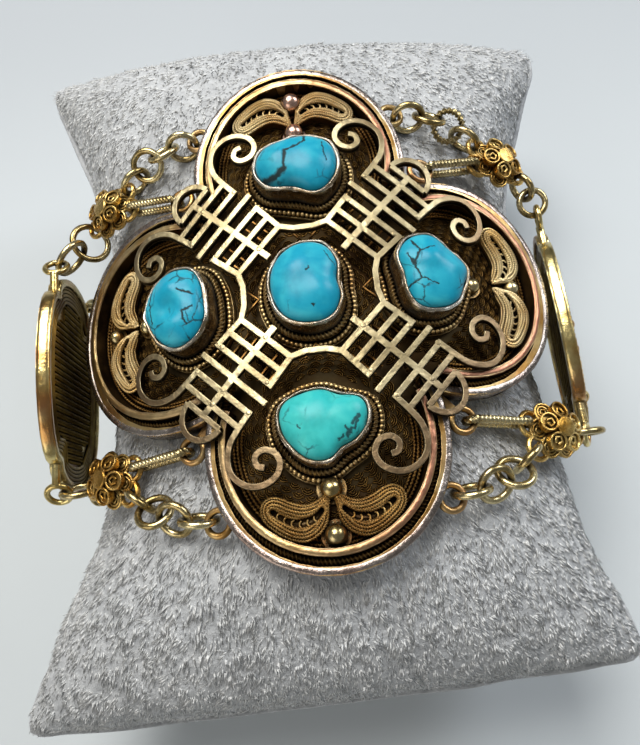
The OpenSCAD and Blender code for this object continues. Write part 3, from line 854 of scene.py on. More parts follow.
@dataclass(frozen=True)
class Plush:
    """Short-pile polyester plush: brushed fibres with pale tips over a woven backing, darker partly as cloth and
    partly as painted shade between the fibres.
    """

    name: str
    tip: str
    root_colour: str
    tuft_mm: float = 1.3

    def build(self) -> Material:
        """Builds the nodes.

        Returns:
            The material.
        """
        material, tree, mm = start_material(self.name)
        tufts = add_node(
            tree, "TexNoise", {"Vector": mm, "Scale": 1 / self.tuft_mm, "Detail": 5.0, "Roughness": 0.7}
        )
        patches = add_node(tree, "TexNoise", {"Vector": mm, "Scale": 0.12, "Detail": 3.0})
        both = add_node(tree, "Math", {0: patches, 1: 0.35, 2: tufts}, operation="MULTIPLY_ADD")
        split = add_node(tree, "SeparateXYZ", {"Vector": mm})
        # Painted light: the pile is lightened towards the far end, where more light falls, and its mottle is
        # flattened there.
        far = {"Value": split.outputs["Y"], "From Min": -30.0, "From Max": 50.0, "To Max": 0.1}
        painted_far_light = add_node(tree, "MapRange", far)
        raised = add_node(tree, "Math", {0: both, 1: painted_far_light}, operation="ADD")
        light = add_node(tree, "MapRange", {"Value": raised, "From Min": 0.5, "From Max": 0.85})
        colour = add_node(
            tree, "Mix", {0: light, 6: linear(self.root_colour), 7: linear(self.tip)}, data_type="RGBA"
        )
        bump = add_node(tree, "Bump", {"Height": tufts, "Strength": 0.7, "Distance": 0.0008})
        shader = add_node(
            tree, "BsdfPrincipled",
            {
                "Base Color": colour, "Roughness": 0.95, "Specular IOR Level": 0.1, "Sheen Weight": 0.25,
                "Sheen Roughness": 0.5, "Normal": bump,
            },
        )
        add_node(tree, "OutputMaterial", {"Surface": shader})
        return material


@dataclass(frozen=True)
class StudioPaper:
    """Matt white card on the table: very slightly fibrous, and darker towards the far end as painted shade."""

    name: str = "matt_card"
    colour: str = "#C3C9CC"
    # Painted shade: the colour that the card is dimmed to at its far end.
    far: str = "#A4A9AE"

    def build(self) -> Material:
        """Builds the nodes.

        Returns:
            The material.
        """
        material, tree, mm = start_material(self.name)
        fibre = add_node(tree, "TexNoise", {"Vector": mm, "Scale": 0.02, "Detail": 4.0})
        tone = add_node(tree, "Mix", {0: fibre, 6: linear(self.colour), 7: linear("#BCC2C6")}, data_type="RGBA")
        # Painted shade: the card darkens smoothly towards the far colour as it runs away from the camera.
        split = add_node(tree, "SeparateXYZ", {"Vector": mm})
        ends = {"Value": split.outputs["Y"], "From Min": 0, "From Max": 110}
        away = add_node(tree, "MapRange", ends, interpolation_type="SMOOTHSTEP")
        dimmer = add_node(tree, "Mix", {0: away, 6: tone, 7: linear(self.far)}, data_type="RGBA")
        shader = add_node(tree, "BsdfPrincipled", {"Base Color": dimmer, "Roughness": 0.7})
        add_node(tree, "OutputMaterial", {"Surface": shader})
        return material


STONE_SPOTS = {
    "top": (0, 15.7), "left": (-16.4, -0.4), "centre": (-0.4, -0.1), "right": (14.7, 0.2), "bottom": (0.2, -17.3)
}
STONE_RADII = {
    "top": (4.9, 5.0, 4.4, 4.0, 4.1, 4.9, 5.0, 4.3, 3.0, 3.0, 4.3, 4.7),
    "left": (3.9, 4.2, 5.0, 4.8, 4.2, 3.8, 3.8, 3.7, 4.2, 4.9, 4.8, 4.4),
    "centre": (3.6, 4.4, 5.1, 5.0, 4.6, 4.2, 4.0, 4.2, 4.7, 4.9, 5.1, 4.4),
    "right": (4.0, 3.4, 3.5, 4.6, 4.9, 4.6, 3.6, 4.0, 4.8, 4.6, 4.4, 3.8),
    "bottom": (4.4, 4.9, 3.7, 4.0, 4.4, 5.2, 4.7, 4.1, 3.9, 3.5, 2.8, 3.4),
}


def stone_radius(name: str, angle: np.ndarray) -> np.ndarray:
    """Radius of a stone's outline.

    Args:
        name: The stone.
        angle: Angles in radians.

    Returns:
        The radius at each angle, in millimetres.
    """
    radii = np.array(STONE_RADII[name])
    turn = np.mod(np.degrees(angle) / 30, 12)
    i = np.floor(turn).astype(int)
    return between(*(radii[(i + k) % 12] for k in (-1, 0, 1, 2)), turn - i)


def stone_outline(name: str, extra: float, count: int = 96) -> np.ndarray:
    """Outline of a stone or of what lies round it.

    Args:
        name: The stone.
        extra: Distance outside the stone.
        count: How many points.

    Returns:
        The outline on the stone's own flat axes.
    """
    a = np.linspace(0, 2 * math.pi, count + 1)[:-1]
    r = stone_radius(name, a) + extra
    return np.column_stack([r * np.cos(a), r * np.sin(a)])


@dataclass
class StoneSetting:
    """One stone with its bezel lip, rope collar and beaded collar."""

    name: str
    finish: Turquoise
    veins: Sequence[Vein]
    lumps: Sequence[tuple[float, float, float, float]]
    shoulder: float = 5.3
    apex: float = 7.15
    foot: float = 1.35
    rope_out: float = 0.95
    rope_height: float = 2.7
    rope_wire: float = 0.46
    bead_out: float = 1.74
    bead_height: float = 2.0
    bead_pitch: float = 0.58
    bead_r: float = 0.35

    def build(self, gilt: Material, silver: Material) -> None:
        """Makes and dresses all the pieces of the setting.

        Args:
            gilt: Finish of the collars.
            silver: Finish of the bezel.
        """
        spot = BEND.spot(*STONE_SPOTS[self.name])
        stone = self._stone()
        lip = self._lip()
        line = at_height(stone_outline(self.name, self.rope_out), self.rope_height)
        rope = draw_wire(f"rope_collar_{self.name}", line, self.rope_wire, Wire.ROPE, True, 1.0)
        collar = stone_outline(self.name, self.bead_out)
        places = beads_along(collar, self.bead_height, self.bead_pitch, self.bead_r)
        beads = copies(f"beaded_collar_{self.name}", granule(), places)
        for piece in (stone, lip, rope, beads):
            piece.data.transform(spot)
        finish(stone, self.finish.build(self.veins, spot), 80, f"stone_{self.name}", Slot.STONE)
        finish(lip, silver, PLATE_ANGLE)
        finish(rope, gilt)
        finish(beads, gilt)

    def _stone(self) -> Object:
        """Tumbles a sphere to the stone's freeform shape.

        Returns:
            The stone on its own axes.
        """
        stone = fresh(bpy.ops.mesh.primitive_uv_sphere_add, segments=48, ring_count=24, radius=1)
        stone.name = f"turquoise_{self.name}"
        with editing(stone):
            bpy.ops.mesh.subdivide(number_cuts=1, smoothness=1)
        x, y, z = points_of(stone).T
        angle = np.arctan2(y, x)
        flat = np.clip(np.hypot(x, y), 0, 1)
        up = z >= 0
        spread = np.where(up, flat**0.86, np.minimum(1, flat**0.45))
        rim = stone_radius(self.name, angle) + 0.08
        height = np.where(
            up,
            self.shoulder + (self.apex - self.shoulder) * np.clip(z, 0, 1) ** 0.92,
            self.shoulder + (self.shoulder - self.foot) * np.clip(z, -1, 0),
        )
        px, py = spread * rim * np.cos(angle), spread * rim * np.sin(angle)
        for cx, cy, wide, rise in self.lumps:
            height += np.where(up, rise * np.exp(-((px - cx) ** 2 + (py - cy) ** 2) / wide**2) * (1 - flat**4), 0)
        move_points(stone, np.column_stack([px, py, height]))
        turn_outwards(stone)
        return stone

    def _lip(self) -> Object:
        """Burnishes a strip of silver over the stone's edge.

        Returns:
            The bezel lip on the stone's own axes.
        """
        angle = np.linspace(0, 2 * math.pi, 97)[:-1]
        wave = 0.035 * np.sin(angle * 7 + len(self.name)) + 0.03 * np.sin(angle * 12 + 1)
        rows = []
        outside = ((0.6, 2.7), (0.6, 5.0), (0.56, 5.36), (0.44, 5.58))
        for extra, height in outside + ((0.3, 5.66), (0.14, 5.6), (0.07, 5.45), (0.08, 5.2)):
            r = stone_radius(self.name, angle) + extra + wave
            rows.append(np.column_stack([r * np.cos(angle), r * np.sin(angle), height + wave * (height > 5)]))
        return sheet(f"bezel_lip_{self.name}", rows)


LOBE_OFFSET = 18.6
# Each lobe's direction, distance to its inner and outer ball, their radius, and how much farther out
# and larger its circle is than the plain one.
LOBES = (
    (0, 21.3, 27.4, 1.05, 0, 0),
    (90, 22.9, 27.8, 1.35, 0, 0),
    (180, 23, 28.6, 1.0, 0.8, 0.5),
    (270, 23.6, 28.6, 1.25, -0.5, 0.3),
)
LEAF = (
    (0.35, 24.1), (0.4, 25.4), (0.55, 26.5), (0.95, 27.6), (2.0, 28.6), (3.5, 29.1), (5.2, 28.7), (6.8, 27.7),
    (7.9, 26.7), (8.4, 25.6), (8.1, 24.4), (7.1, 23.8), (5.9, 24.0), (4.5, 24.7), (2.9, 25.1), (1.5, 24.6),
)
LEAF_SPINE = ((1.3, 25.9), (2.4, 26.9), (4.1, 27.1), (5.7, 26.4), (6.9, 25.5))


def in_lobe(direction: float, side: float, line: np.ndarray) -> np.ndarray:
    """Turns a drawing made for one half of a lobe into its place on the panel.

    Args:
        direction: The lobe's direction in degrees.
        side: 1 or -1 for the half.
        line: Points as distance across the lobe and outwards.

    Returns:
        The flat points on the panel.
    """
    a = math.radians(direction)
    across, out = line[:, 0], line[:, 1]
    x = out * math.cos(a) - side * across * math.sin(a)
    y = out * math.sin(a) + side * across * math.cos(a)
    return np.column_stack([x, y])


def lobe_centre(k: int) -> np.ndarray:
    """Middle of a lobe's circle."""
    return in_lobe(90 * k, 1, np.array([[0, LOBE_OFFSET + LOBES[k % 4][4]]]))[0]


def lobe_radius(k: int, radius: float) -> float:
    """Radius of one hand-made lobe where the plain one has the given radius."""
    return radius + LOBES[k % 4][5]


def four_lobes(radius: float, steps: int = 40) -> np.ndarray:
    """The panel's outline, or a line parallel to it.

    Args:
        radius: The plain lobe's radius.
        steps: Points for each lobe.

    Returns:
        The closed flat line.
    """
    cusps = []
    for k in range(4):
        a, b = lobe_centre(k), lobe_centre(k + 1)
        ra, rb = lobe_radius(k, radius), lobe_radius(k + 1, radius)
        d = np.linalg.norm(b - a)
        u = (b - a) / d
        x = (ra**2 - rb**2 + d**2) / (2 * d)
        cusps.append(a + x * u + math.sqrt(max(0.0, ra**2 - x**2)) * np.array([u[1], -u[0]]))
    arcs = []
    for k in range(4):
        first, last = (math.degrees(math.atan2(*(c - lobe_centre(k))[::-1])) for c in (cusps[k - 1], cusps[k]))
        start = 90 * k - (90 * k - first) % 360
        end = 90 * k + (last - 90 * k) % 360
        arcs.append(arc(lobe_centre(k), lobe_radius(k, radius), start, end, steps)[:-1])
    return np.vstack(arcs)


def inside(outline: np.ndarray, x: float, y: float) -> bool:
    """Whether a flat point lies inside an outline.

    Args:
        outline: A closed line.
        x: First coordinate.
        y: Second coordinate.

    Returns:
        True inside.
    """
    ax, ay = outline.T
    bx, by = np.roll(outline, -1, 0).T
    crosses = ((ay > y) != (by > y)) & (x < (bx - ax) * (y - ay) / np.where(by == ay, 1e-9, by - ay) + ax)
    return bool(np.count_nonzero(crosses) % 2)


def uneven(line: np.ndarray, amount: float) -> np.ndarray:
    """Makes a line as uneven as hand-hammered metal."""
    return line + amount * np.array([noise.noise_vector(Vector(q) * 0.55) for q in line])


@dataclass
class Rims:
    """The panel's two rims, rounded by wear, over the plain ones of the model."""

    outer_r: float = 14.4
    outer_w: float = 0.9
    outer_top: float = 2.7
    inner_r: float = 12.4
    inner_w: float = 0.8
    inner_top: float = 3.2
    span: float = 112.0
    cover: float = 0.035

    def build(self, silver: Material, gilt: Material, dark: Material) -> None:
        """Makes and dresses the rims.

        Args:
            silver: Finish of the outer rim.
            gilt: Finish of the inner rims.
            dark: Finish of the walls that face the channel and the ground: near-black painted shadow.
        """
        profile = self._profile(self.outer_w, self.outer_top, 0.05)
        rows = [uneven(at_height(four_lobes(self.outer_r + out, 90), height), 0.035) for out, height in profile]
        finish(BEND.lay(sheet("outer_rim", rows[1:])), silver)
        walls = [sheet("wall", rows[:2])]
        strips = []
        for k in range(4):
            rows = []
            for out, height in self._profile(self.inner_w, self.inner_top, 0.6):
                radius = lobe_radius(k, self.inner_r) + out
                line = arc(lobe_centre(k), radius, 90 * k - self.span, 90 * k + self.span, 150)
                rows.append(uneven(at_height(line, height), 0.025))
            strips.append(sheet("strip", rows[1:-1], False))
            walls.extend((sheet("wall", rows[:2], False), sheet("wall", rows[-2:], False)))
        finish(BEND.lay(join("inner_rims", *strips)), gilt)
        # The walls facing the channel and the ground are dressed in painted shadow.
        finish(BEND.lay(join("channel_walls", *walls)), dark, PLATE_ANGLE)

    def _profile(self, width: float, top: float, foot: float) -> list[tuple[float, float]]:
        """Cross-section of a rim.

        Args:
            width: Its width.
            top: Height of its top.
            foot: Height of its outer foot.

        Returns:
            Pairs of distance outwards and height, from the inner foot over the top to the outer foot.
        """
        c = self.cover
        inner = [(-width - c, 0.9), (-width - c, top - 0.16), (-width + 0.06, top - 0.02), (-width + 0.2, top + c)]
        return inner + [(-0.2, top + c), (-0.06, top - 0.02), (c, top - 0.16), (c, foot)]


@dataclass
class FiligreeGround:
    """The fine wirework that fills the lobes: fish-scale coils and twisted border wires."""

    plate: float = 1.0
    scale_r: float = 0.8
    wire: float = 0.12
    channel_r: float = 12.95
    channel_height: float = 1.95
    channel_wire: float = 0.5
    border_span: float = 108.0
    opening: float = math.radians(68)
    stone_clear: float = 2.3
    first_ring: float = 5.6
    ring_pitch: float = 0.78
    scale_pitch: float = 1.62

    def build(self, ground: Material, border: Material, channel: Material) -> None:
        """Makes and dresses the ground.

        Args:
            ground: Finish of the coils.
            border: Finish of the border wires.
            channel: Finish of the bead wire in the channel.
        """
        coils = BEND.lay(copies("filigree_coils", self._scale(), self._scale_places()))
        finish(coils, ground)
        ropes = []
        for k in range(4):
            for radius, wire, lay in ((11.25, 0.27, 0.95), (10.72, 0.25, -0.9), (10.24, 0.22, 0.85)):
                start, end = 90 * k - self.border_span, 90 * k + self.border_span
                line = arc(lobe_centre(k), lobe_radius(k, radius), start, end, 90)
                ropes.append(draw_wire("border", at_height(line, self.plate + wire), wire, Wire.ROPE, False, lay))
        finish(BEND.lay(join("border_ropes", *ropes)), border)
        line = at_height(four_lobes(self.channel_r), self.channel_height)
        finish(BEND.lay(draw_wire("channel_rope", line, self.channel_wire, Wire.ROPE, True, 0.95)), channel)

    def _scale(self) -> Object:
        """Models one fish scale: three nested arcs of flat wire.

        Returns:
            The scale, opening towards minus x.
        """
        arcs = []
        for radius in (self.scale_r, self.scale_r * 0.68, self.scale_r * 0.36):
            outer = radius + self.wire
            ring = fresh(bpy.ops.mesh.primitive_circle_add, vertices=14, radius=outer, fill_type="NOTHING")
            with editing(ring):
                bpy.ops.mesh.extrude_region_move(TRANSFORM_OT_translate={"value": (0, 0, 1.7 * self.wire)})
                inward = radius / outer
                bpy.ops.transform.resize(value=(inward, inward, 1))
                bpy.ops.mesh.extrude_region_move(TRANSFORM_OT_translate={"value": (0, 0, -1.7 * self.wire)})
                inward = (radius - self.wire) / radius
                bpy.ops.transform.resize(value=(inward, inward, 1))
                for side in (-1, 1):
                    bpy.ops.mesh.select_all(action="SELECT")
                    normal = (math.sin(self.opening), side * math.cos(self.opening), 0)
                    bpy.ops.mesh.bisect(plane_co=(0, 0, 0), plane_no=normal, clear_inner=True)
            arcs.append(ring)
        scale = join("scale", *arcs)
        turn_outwards(scale)
        return scale

    def _free(self, x: float, y: float, leaves: Sequence[np.ndarray]) -> bool:
        """Whether a scale fits at a flat point.

        Args:
            x: Distance round the wrist.
            y: Distance along the arm.
            leaves: Outlines that are kept clear.

        Returns:
            True where the plate is bare.
        """
        for name, (s, t) in STONE_SPOTS.items():
            dx, dy = x - s, y - t
            if math.hypot(dx, dy) < float(stone_radius(name, np.array([math.atan2(dy, dx)]))[0]) + self.stone_clear:
                return False
        return not any(inside(leaf, x, y) for leaf in leaves)

    def _scale_places(self) -> list[Matrix]:
        """Rows of scales that spread from each stone, and a straight field in the middle.

        Returns:
            One matrix for each scale.
        """
        leaves = [in_lobe(lobe[0], side, smooth_path(LEAF, 3, True)) for lobe in LOBES for side in (-1, 1)]
        rng = np.random.default_rng(4)
        places = []
        for index, lobe in enumerate(LOBES):
            cx, cy = lobe_centre(index)
            sx, sy = in_lobe(lobe[0], 1, np.array([[0, 15.6]]))[0]
            for k in range(24):
                ring = self.first_ring + self.ring_pitch * k
                count = round(2 * math.pi * ring / self.scale_pitch)
                for i in range(count):
                    a = 2 * math.pi * (i + 0.5 * (k % 2)) / count
                    x, y = sx + ring * math.cos(a), sy + ring * math.sin(a)
                    if math.hypot(x - cx, y - cy) > lobe_radius(index, 9.75) or not self._free(x, y, leaves):
                        continue
                    turn = math.degrees(a) + rng.uniform(-7, 7)
                    places.append(facing(x, y, self.plate, turn, rng.uniform(0.93, 1.06)))
        for i in range(-9, 10):
            for j in range(-16, 17):
                x, y = 1.6 * (i + 0.5 * (j % 2)), 0.8 * j
                # The nearest lobe's circle is the one on the axis that the point leans to.
                lobe_gap = math.hypot(max(abs(x), abs(y)) - LOBE_OFFSET, min(abs(x), abs(y)))
                if max(abs(x), abs(y)) < 9.5 and lobe_gap > 10.8 and self._free(x, y, leaves):
                    places.append(facing(x, y, self.plate, math.degrees(math.atan2(y, x)), rng.uniform(0.93, 1.06)))
        return places


@dataclass
class LobeOrnament:
    """The pair of paisley leaves and the two balls of each lobe."""

    samples: int = 150
    slot_half: float = 0.5
    row_heights: tuple[float, ...] = (2.4, 2.55, 2.58, 2.5, 2.34)
    first_row: float = 0.18
    row_pitch: float = 0.36
    row_wire: float = 0.24
    row_lay: float = 0.62
    floor_height: float = 1.78
    crescent_r: float = 0.42
    base_height: float = 1.35

    def build(self, leaves: Sequence[Material], balls: Sequence[Material], dark: Material) -> None:
        """Makes and dresses the leaves and balls.

        Args:
            leaves: Finish of the upper leaves, a lighter copy that is painted light, and of the bottom lobe's.
            balls: Finish of the top lobe's balls and of the others.
            dark: Finish of the leaves' floor: near-black painted shadow.
        """
        names = {0: "right", 90: "top", 180: "left", 270: "bottom"}
        floors = []
        for direction, near, far, ball, *_ in LOBES:
            parts = []
            for side in (-1, 1):
                rings = [self._ring(direction, side, way, self.floor_height) for way in (0.25, 1.0, 9.0)]
                floors.append(sheet("floor", rings))
                for number, height in enumerate(self.row_heights):
                    line = self._ring(direction, side, self.first_row + self.row_pitch * number, height)
                    lay = -self.row_lay if number % 2 else self.row_lay
                    parts.append(draw_wire("row", line, self.row_wire, Wire.ROPE, True, lay))
                parts.append(self._crescents(direction, side))
            # All but the bottom lobe's leaves take the lighter copy: painted light where they catch the light.
            tone = leaves[int(direction == 270)]
            finish(BEND.lay(join(f"paisley_leaves_{names[direction]}", *parts)), tone, 50)
            pair = self._balls(direction, near, far, ball)
            finish(BEND.lay(join(f"balls_{names[direction]}", *pair)), balls[int(direction != 90)])
        # The leaves' floors are dressed in painted shadow.
        finish(BEND.lay(join("leaf_floors", *floors)), dark, PLATE_ANGLE)

    def _ring(self, direction: float, side: float, way_in: float, height: float) -> np.ndarray:
        """A line inside a leaf, parallel to its rim but never past the edge of its open middle.

        Args:
            direction: The lobe's direction in degrees.
            side: The half of the lobe.
            way_in: Distance from the rim.
            height: Height of the line.

        Returns:
            The closed line in the flat layout.
        """
        outline = evenly(smooth_path(LEAF, 8, True), self.samples, True)
        spine = smooth_path(LEAF_SPINE, 6)
        nearest = spine[np.argmin(np.linalg.norm(outline[:, None] - spine[None], axis=2), axis=1)]
        padded = np.vstack([nearest[-4:], nearest, nearest[:4]])
        nearest = np.column_stack([np.convolve(padded[:, k], np.ones(9) / 9, "valid") for k in (0, 1)])
        to_spine = nearest - outline
        way = np.maximum(np.linalg.norm(to_spine, axis=1), 0.05)
        most = 1 if way_in > 5 else np.clip(1 - self.slot_half / way, 0.12, 1)
        share = np.minimum(way_in / way, most)
        return at_height(in_lobe(direction, side, outline + share[:, None] * to_spine), height)

    def _crescents(self, direction: float, side: float) -> Object:
        """Sets small curved wires across a leaf's open middle.

        Args:
            direction: The lobe's direction in degrees.
            side: The half of the lobe.

        Returns:
            The crescents in the flat layout.
        """
        spine = evenly(in_lobe(direction, side, smooth_path(LEAF_SPINE, 6)), 8)
        arcs = []
        for i in range(1, 7):
            ahead = spine[i + 1] - spine[i - 1]
            a = math.degrees(math.atan2(ahead[1], ahead[0]))
            line = arc(spine[i], self.crescent_r, a - 70, a + 70, 9)
            arcs.append(draw_wire("crescent", at_height(line, 2.0), 0.11))
        return join("crescents", *arcs)

    def _balls(self, direction: float, near: float, far: float, radius: float) -> list[Object]:
        """Models the two balls with the twisted wire that each sits in.

        Args:
            direction: The lobe's direction in degrees.
            near: Distance to the inner ball.
            far: Distance to the outer ball.
            radius: Radius of a ball.

        Returns:
            The balls and their base wires in the flat layout.
        """
        parts = []
        for distance in (near, far):
            x, y = in_lobe(direction, 1, np.array([[0, distance]]))[0]
            ball = fresh(bpy.ops.mesh.primitive_uv_sphere_add, segments=32, ring_count=20, radius=radius)
            with editing(ball):
                bpy.ops.mesh.bisect(plane_co=(0, 0, -0.8 * radius), plane_no=(0, 0, 1), clear_inner=True)
                bpy.ops.mesh.select_all(action="SELECT")
                bpy.ops.transform.resize(value=(1.01, 1.01, 0.99), center_override=(0, 0, 0))
                bpy.ops.transform.translate(value=(x, y, 1 + 0.87 * radius))
            parts.append(ball)
            base = arc((x, y), radius * 1.12, 0, 360, 40)[:-1]
            parts.append(draw_wire("base", at_height(base, self.base_height), 0.26, Wire.ROPE, True, 0.9))
        return parts


@dataclass
class FretDetail:
    """Solder blobs and the small copper wires that show beside the fret."""

    top: float = 4.2
    blob_height: float = 0.07

    def build(self, pale: Material, copper: Material) -> None:
        """Makes and dresses the blobs and wires.

        Args:
            pale: Finish of the blobs.
            copper: Finish of the wires.
        """
        rng = np.random.default_rng(9)
        places = []
        for k in range(4):
            for u, v in ((8.1, 0), (18.0, 0.0), (12.1, 3.6), (12.1, -3.6), (16.1, 4.2), (16.1, -4.2)):
                nudge = (rng.uniform(-0.1, 0.1), rng.uniform(-0.1, 0.1))
                x, y = in_lobe(45 + 90 * k, 1, np.array([[v, u]]))[0] + nudge
                spread = rng.uniform(0.3, 0.4)
                flat = Matrix.Diagonal((spread, spread, self.blob_height, 1))
                places.append(facing(x, y, self.top - 0.02, rng.uniform(0, 360)) @ flat)
        finish(BEND.lay(copies("solder_blobs", granule(), places)), pale, 80)
        wires = []
        for k in range(4):
            line = in_lobe(90 * k, 1, np.array(((-1.5, 8.3), (0.0, 6.6), (1.5, 8.3))))
            wires.append(draw_wire("chevron", at_height(line, 2.2), 0.24, Wire.STRIP))
            for across in (1.7, 3.0):
                for side in (-1, 1):
                    line = in_lobe(45 + 90 * k, side, np.array([[across, 8.6], [across, 12.6]]))
                    wires.append(draw_wire("under_strip", at_height(line, 1.9), 0.3, Wire.STRIP))
        finish(BEND.lay(join("copper_wires", *wires)), copper, PLATE_ANGLE)


FLOWER_SPOTS = {
    "upper_left": (-30, 19.7), "upper_right": (30, 19.7), "lower_left": (-30, -18.6), "lower_right": (30, -18.6)
}


@dataclass
class Rosette:
    """A two-tier flower link: coiled petals, curled rings and a flat polished heart."""

    corner: str
    turn: float
    reach: float = 3.45
    loop_r: float = 1.45
    spread: float = 1.26
    lift: float = 0.35

    def build(self, gilt: Material) -> None:
        """Makes and dresses the flower.

        Args:
            gilt: Its finish.
        """
        tiers = [self._petal(i) for i in range(6)] + [self._curl(i) for i in range(5)] + [self._heart()]
        blown = Matrix.Translation((0, 0, self.lift)) @ Matrix.Diagonal((self.spread, self.spread, 1.08, 1))
        for tier in tiers:
            tier.data.transform(blown)
        flower = join(f"rosette_{self.corner}", *tiers, self._stem(), *self._rings())
        flower.data.transform(BEND.spot(*FLOWER_SPOTS[self.corner]))
        finish(flower, gilt, 45, f"flower_{self.corner}")

    def _petal(self, number: int) -> Object:
        """A round lower petal: a shallow dish with a raised rim and coils inside.

        Args:
            number: Which petal.

        Returns:
            The petal in place on the flower.
        """
        dish = fresh(bpy.ops.mesh.primitive_cylinder_add, vertices=28, radius=1.02, depth=0.3, end_fill_type="NGON")
        with editing(dish, lambda face: face.normal.z > 0.9):
            bpy.ops.mesh.inset(thickness=0.17)
            bpy.ops.mesh.inset(thickness=0.05, depth=-0.16)
        parts = [dish]
        for radius in (0.6, 0.34):
            line = at_height(arc((0.12, 0), radius, 0, 360, 24)[:-1], 0.12)
            parts.append(draw_wire("coil", line, 0.11, Wire.ROUND, True))
        parts.append(draw_wire("edge", at_height(arc((0, 0), 0.95, 0, 360, 36)[:-1], 0.16), 0.13, Wire.ROUND, True))
        petal = join("petal", *parts)
        tilt = Matrix.Rotation(math.radians(16), 4, "Y")
        turn = Matrix.Rotation(math.radians(60 * number + self.turn), 4, "Z")
        petal.data.transform(turn @ Matrix.Translation((1.82, 0, 1.2)) @ tilt @ Matrix.Scale(1.1, 4))
        return petal

    def _curl(self, number: int) -> Object:
        """An upper petal: an upright curled strip with an open, dark middle.

        Args:
            number: Which petal.

        Returns:
            The curl in place on the flower.
        """
        strip = sheet("curl", [at_height(arc((0, 0), 0.66, 20, 380, 37), height) for height in (0, 0.7)], False)
        apply_modifier(strip, "SOLIDIFY", thickness=0.17, offset=0)
        apply_modifier(strip, "BEVEL", width=0.05, segments=2)
        inner = draw_wire("inner_curl", at_height(arc((-0.12, 0), 0.33, 20, 340, 16), 0.5), 0.12)
        floor = sheet("floor", [at_height(arc((0, 0), radius, 0, 350, 18), 0.36) for radius in (0.62, 0.3, 0.01)])
        petal = join("curl", strip, inner, floor)
        tilt = Matrix.Rotation(math.radians(20), 4, "Y")
        turn = Matrix.Rotation(math.radians(72 * number + 18 + self.turn), 4, "Z")
        petal.data.transform(turn @ Matrix.Translation((1.45, 0, 1.95)) @ tilt @ Matrix.Scale(1.26, 4))
        return petal

    def _heart(self) -> Object:
        """The flat polished disc in the middle.

        Returns:
            The disc in place on the flower.
        """
        heart = fresh(bpy.ops.mesh.primitive_cylinder_add, vertices=32, radius=0.98, depth=0.36)
        apply_modifier(heart, "BEVEL", width=0.14, segments=4)
        with editing(heart):
            bpy.ops.transform.rotate(value=math.radians(6), orient_axis="Y", center_override=(0, 0, 0))
            bpy.ops.transform.translate(value=(0, 0, 3.05))
        return heart

    def _stem(self) -> Object:
        """The small disc and post that the tiers are soldered to.

        Returns:
            The stem in place on the flower.
        """
        stem = fresh(bpy.ops.mesh.primitive_cylinder_add, vertices=32, radius=1.5, depth=0.4, location=(0, 0, 0.8))
        bpy.ops.object.transform_apply(location=True, rotation=True, scale=True)
        with editing(stem, lambda face: face.normal.z > 0.9):
            bpy.ops.mesh.inset(thickness=1.05)
            bpy.ops.mesh.extrude_region_move(TRANSFORM_OT_translate={"value": (0, 0, 2.0)})
        return stem

    def _rings(self) -> list[Object]:
        """The three soldered rings that the chains hook into.

        Returns:
            The rings in place on the flower.
        """
        across = 1 if self.corner.endswith("right") else -1
        along = 1 if self.corner.startswith("upper") else -1
        rings = []
        for dx, dy in ((-0.8, 0.6), (-0.97, -0.24), (0.97, -0.24 if along > 0 else 0.1)):
            middle = (self.reach * across * dx, self.reach * along * dy)
            line = arc(middle, self.loop_r, 0, 360, 36)[:-1]
            rings.append(draw_wire("ring", at_height(line, 1.3), 0.37, Wire.ROUND, True))
        return rings


@dataclass
class ChainRun:
    """One run of links, each made from the place, size and lie of the plain link that it stands for."""

    node: str
    ribbed: int = -1
    wire: float = 0.4

    def build(self, cad: Object, gilt: Material) -> None:
        """Makes and dresses the links, one of them ribbed where the run has such a link.

        Args:
            cad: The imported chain.
            gilt: Their finish.
        """
        clouds = sorted(loose_parts(cad), key=lambda cloud: float(cloud[:, 0].mean()))
        links = [self._link(cloud, number == self.ribbed) for number, cloud in enumerate(clouds)]
        finish(join(self.node + "_links", *links), gilt, node=self.node)

    def _link(self, cloud: np.ndarray, ribbed: bool) -> Object:
        """Makes one link.

        Args:
            cloud: Points of the plain link, in millimetres.
            ribbed: Whether its wire is coarsely ribbed.

        Returns:
            The link in place.
        """
        middle = cloud.mean(0)
        lie = lie_of(cloud - middle)
        outer = np.hypot(*((cloud - middle) @ lie[:, :2]).T).max()
        flat = at_height(arc((0, 0), outer - self.wire, 0, 360, 49)[:-1], 0)
        kind, extra = (Wire.ROPE, 0.14) if ribbed else (Wire.ROUND, 0.05)
        link = draw_wire("link", flat, self.wire + extra, kind, True, 1.3)
        link.data.transform(Matrix.Translation(Vector(middle)) @ Matrix(lie.tolist()).to_4x4())
        return link


def lie_of(away: np.ndarray) -> np.ndarray:
    """Finds how a flat link lies.

    Args:
        away: The link's points, from its middle.

    Returns:
        Three columns: the directions along the link, across it and out of its plane.
    """
    _, axes = np.linalg.eigh(away.T @ away)
    along, normal = axes[:, 2], axes[:, 0]
    return np.column_stack([along, np.cross(normal, along), normal])


def loose_parts(cad: Object) -> list[np.ndarray]:
    """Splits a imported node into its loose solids.

    Args:
        cad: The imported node.

    Returns:
        The points of each solid in millimetres, in the maker's layout.
    """
    mesh = cad.data
    places = points_of(cad)
    key = np.round(places / 2e-6).astype(np.int64)
    _, merged = np.unique(key, axis=0, return_inverse=True)
    merged = merged.ravel()
    parent = np.arange(merged.max() + 1)

    def top(i: int) -> int:
        """Finds the first point of a group."""
        while parent[i] != i:
            parent[i] = parent[parent[i]]
            i = parent[i]
        return i

    for face in mesh.polygons:
        first, *rest = (merged[v] for v in face.vertices)
        for other in rest:
            a, b = top(first), top(other)
            if a != b:
                parent[b] = a
    group = np.array([top(m) for m in merged])
    return [places[group == g] / MM - ORIGIN for g in np.unique(group)]


